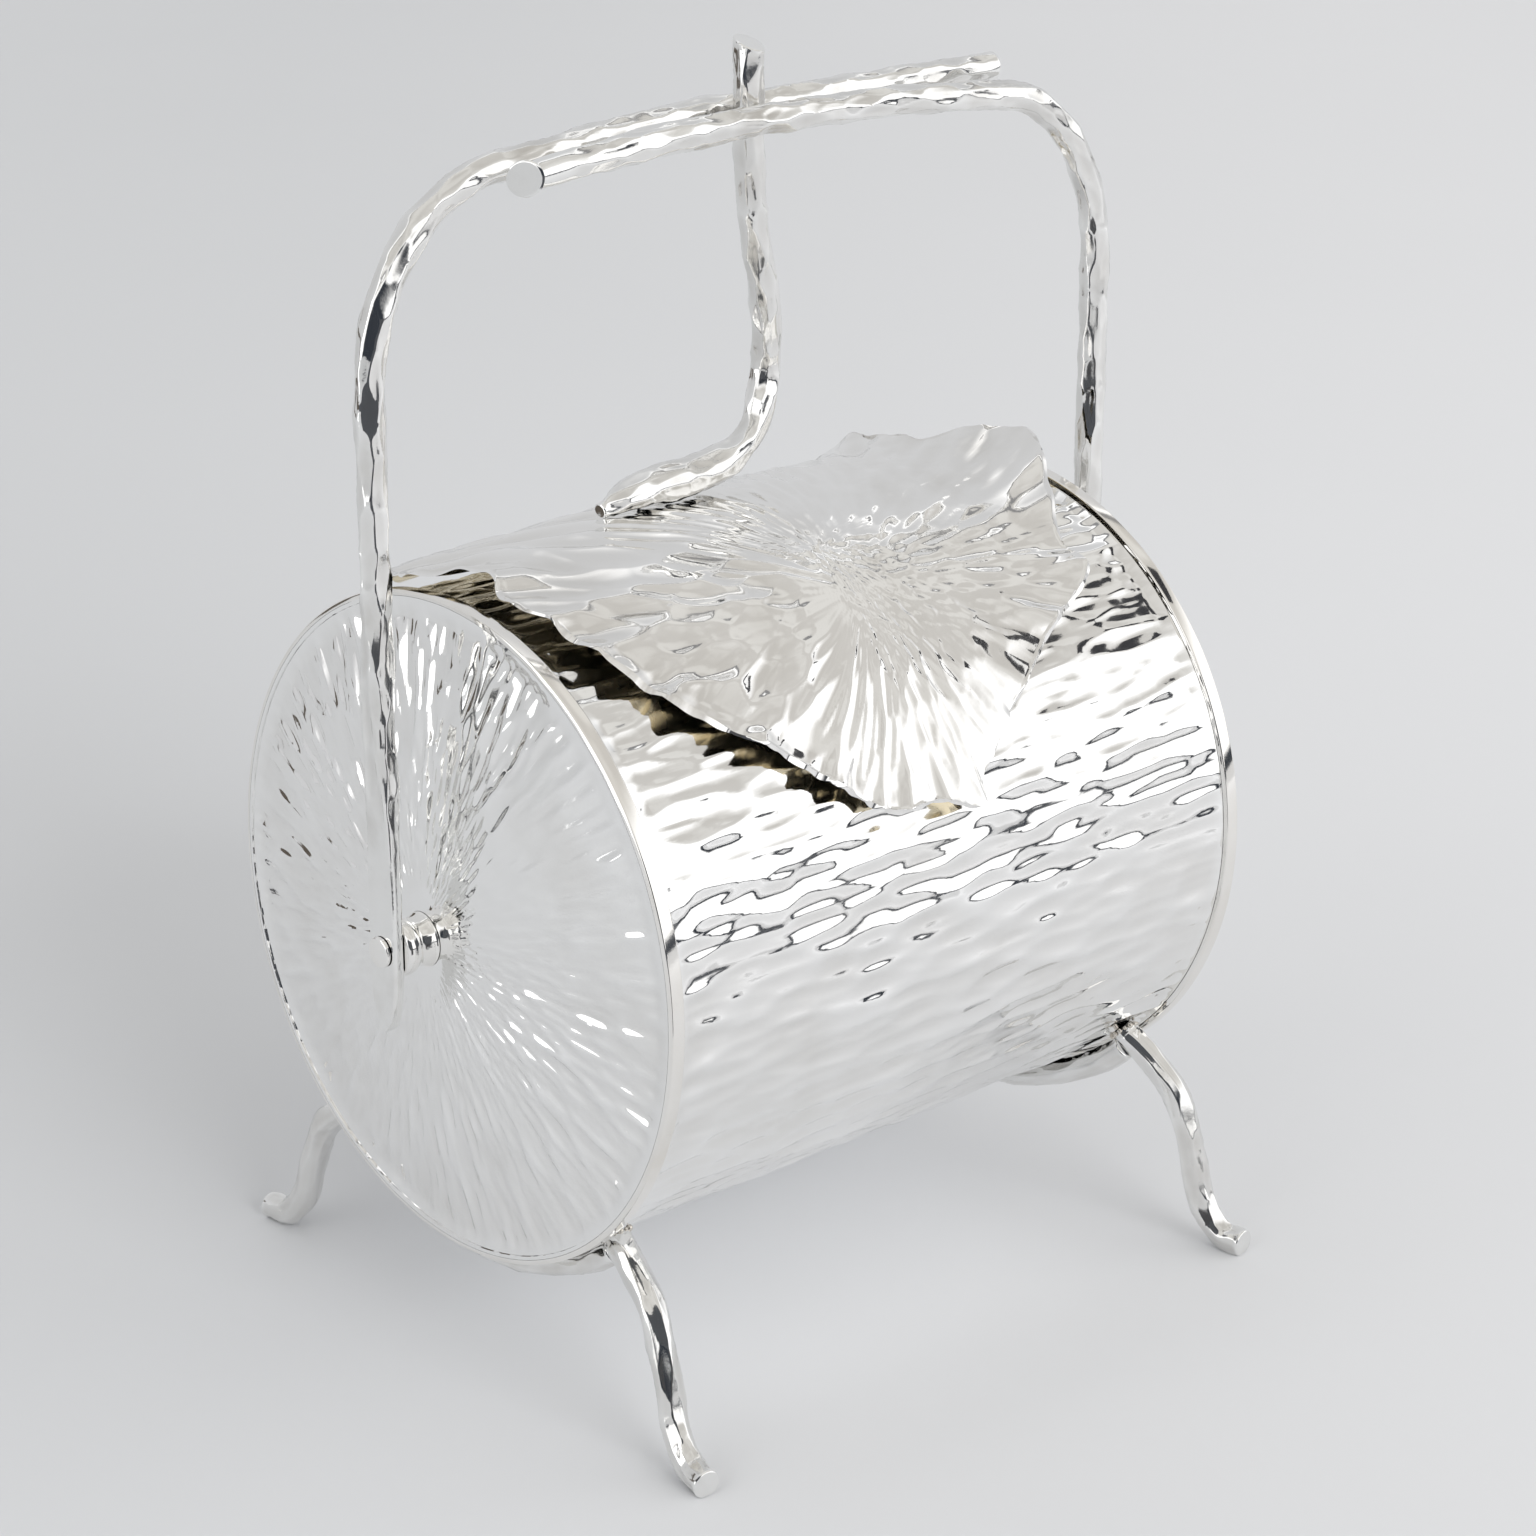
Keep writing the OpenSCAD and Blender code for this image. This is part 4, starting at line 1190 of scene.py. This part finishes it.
# Painted light gradient across the picture, from left to right, mixed with a random cloud of tone.
painted_light_and_cloud = to_right.between(painted_light_from, painted_light_to)
painted_light_and_cloud = (painted_light_and_cloud + noise(place, paper_cloud) * paper_cloud_share).clamped()
paper = mixed(painted_light_and_cloud, solid(*painted_shade_paper), solid(*painted_light_paper))
surface(tree, {"Base Color": paper, "Roughness": 0.8})
turns = np.linspace(0, 2 * np.pi, floor_sides + 1)[:-1]
ring = [(floor_r * math.cos(a), floor_r * math.sin(a), 0) for a in turns]
floor_mesh = bpy.data.meshes.new("floor")
floor_mesh.from_pydata(ring, [], [list(range(floor_sides))])
floor_mesh.materials.append(floor_material)
floor = bpy.data.objects.new("floor", floor_mesh)
scene.collection.objects.link(floor)
print("floor", 2 * floor_r, "m wide")

# %% Room
world = bpy.data.worlds.new("room")
scene.world = world
tree = blank(world)
direction = Wire.node(tree, "ShaderNodeTexCoord", out="Generated")
height = Wire.node(tree, "ShaderNodeSeparateXYZ", None, {0: direction}, "Z")
to_back = height.other("Y")
behind = Vector((toward_camera.x, toward_camera.y, 0)).normalized()
to_camera = vector_math("DOT_PRODUCT", direction, tuple(behind), out="Value")
to_right = vector_math("DOT_PRODUCT", direction, tuple(level), out="Value")
room_strength = 1.12


def stripe(wire, low, high, soft=0.01):
    """One where the wire lies between two values, with soft edges."""
    return wire.between(low - soft, low + soft) * (1.0 - wire.between(high - soft, high + soft))


high_up = height.between(0.4, 0.5)
cloud = noise(direction, 3.5)
beige = mixed(cloud.between(0.35, 0.65), solid(0.58, 0.565, 0.54), solid(0.71, 0.70, 0.675))
right_side = to_right.between(-0.2, 0.2)
white_right = to_camera.between(-0.75, -0.3) * right_side
white_left = to_camera.between(0.0, 0.25)
white = white_right.math("MAXIMUM", white_right, white_left)
walls = mixed(white, solid(0.60, 0.605, 0.615), solid(1.2, 1.2, 1.2))
ceiling = mixed(height.between(0.46, 0.66) * (1.0 - to_back.between(0.14, 0.16)), walls, beige)
shaded = mixed(stripe(to_back, 0.14, 0.20) * high_up, ceiling, solid(0.24, 0.24, 0.245))
lit = mixed(stripe(to_back, 0.20, 0.245) * high_up, shaded, solid(1.15, 1.15, 1.15))
dark_side = to_camera.between(0.8, 0.92) * (1.0 - height.between(0.4, 0.6))
edge_band = (1.0 - height.between(0.03, 0.07)) * to_camera.between(-0.6, -0.1) * right_side
dark = dark_side.math("MAXIMUM", dark_side, edge_band)
room = mixed(dark, lit, solid(0.035, 0.04, 0.05))
background = Wire.node(tree, "ShaderNodeBackground", None, {
    "Color": room, "Strength": room_strength})
Wire.node(tree, "ShaderNodeOutputWorld", None, {"Surface": background})
print("room is dark towards", tuple(round(v, 2) for v in behind))

# %% Dark cards
CARD_WEAVE, CARD_LIGHTER = 40.0, 1.3


def dark_card(name, middle, across, up, colour):
    """A card that only shows in the metal, given by its middle and its two half sides."""
    middle, across, up = Vector(middle), Vector(across), Vector(up)
    corners = [middle + across * a + up * b for a, b in ((-1, -1), (1, -1), (1, 1), (-1, 1))]
    mesh = bpy.data.meshes.new(name)
    mesh.from_pydata([tuple(corner) for corner in corners], [], [(0, 1, 2, 3)])
    material = bpy.data.materials.new(name)
    tree = blank(material)
    weave = noise(Wire.node(tree, "ShaderNodeTexCoord", out="Object"), CARD_WEAVE)
    cloth = mixed(weave, solid(*colour), solid(*[v * CARD_LIGHTER for v in colour]))
    surface(tree, {"Base Color": cloth, "Roughness": 0.9})
    mesh.materials.append(material)
    card = bpy.data.objects.new(name, mesh)
    card.visible_camera = False
    card.visible_diffuse = False
    card.visible_shadow = False
    scene.collection.objects.link(card)
    print(name, round(2 * across.length, 2), "by", round(2 * up.length, 2), "m")


in_front = behind * 0.5
stem_side = level * 0.07
dark_card("camera_card", in_front + Vector((0, 0, 0.27)), level * 0.17, (0, 0, 0.14),
          (0.09, 0.095, 0.105))
dark_card("stem_card", in_front + stem_side + Vector((0, 0, 0.065)), level * 0.1, (0, 0, 0.065),
          (0.07, 0.07, 0.075))
dark_card("left_card", (-0.48, 0.83, 0.25), (0.085, 0.036, 0), (0, 0, 0.14), (0.06, 0.05, 0.04))
dark_card("right_card", (0.30, -0.15, 0.42), (0.03, 0, 0), (0, 0.035, 0), (0.04, 0.04, 0.045))

# %% Soft light
def shining(back):
    """The turn of a lamp that shines away from a direction."""
    return back.to_track_quat("Z", "Y").to_matrix().to_4x4()


def soft_light(name, place, aim, width, height, radiance):
    """A rectangular lamp whose face has the given brightness."""
    lamp = bpy.data.lights.new(name, "AREA")
    lamp.shape = "RECTANGLE"
    lamp.size, lamp.size_y = width, height
    lamp.energy = math.pi * radiance * width * height
    holder = bpy.data.objects.new(name, lamp)
    holder.matrix_world = Matrix.Translation(place) @ shining(Vector(place) - Vector(aim))
    holder.visible_camera = False
    scene.collection.objects.link(holder)
    print(name, round(lamp.energy, 1), "W")
    return holder


sun_from, sun_strength, sun_angle = Vector((-0.1, -0.95, 0.32)), 2.1, math.radians(35)
window = soft_light("front_right_light", (1.35, -1.40, 0.95), (0, 0, 0.15), 2.2, 1.5, 0.9)
low_sun = bpy.data.lights.new("low_front_light", "SUN")
low_sun.energy, low_sun.angle = sun_strength, sun_angle
fill = bpy.data.objects.new("low_front_light", low_sun)
fill.matrix_world = shining(sun_from)
scene.collection.objects.link(fill)
bounce = soft_light("belly_light", (0, -0.035, 0.034), (0, -0.035, 0), 0.17, 0.13, 0.24)
left_fill = soft_light("left_light", (-1.6, -0.2, 1.0), (-0.1, 0, 0), 1.2, 0.8, 1.1)
for lamp in (window, fill, bounce, left_fill):
    lamp.visible_glossy = False
panel = soft_light("back_left_panel", (-1.0, 0.36, 0.37), (-0.12, 0, 0.2), 0.36, 0.6, 1.1)
panel.visible_diffuse = False

# %% [markdown]
# ## View transform
#
# The view transform is Standard, so a colour renders as it is written.

# %% View transform
scene.view_settings.view_transform = "Standard"
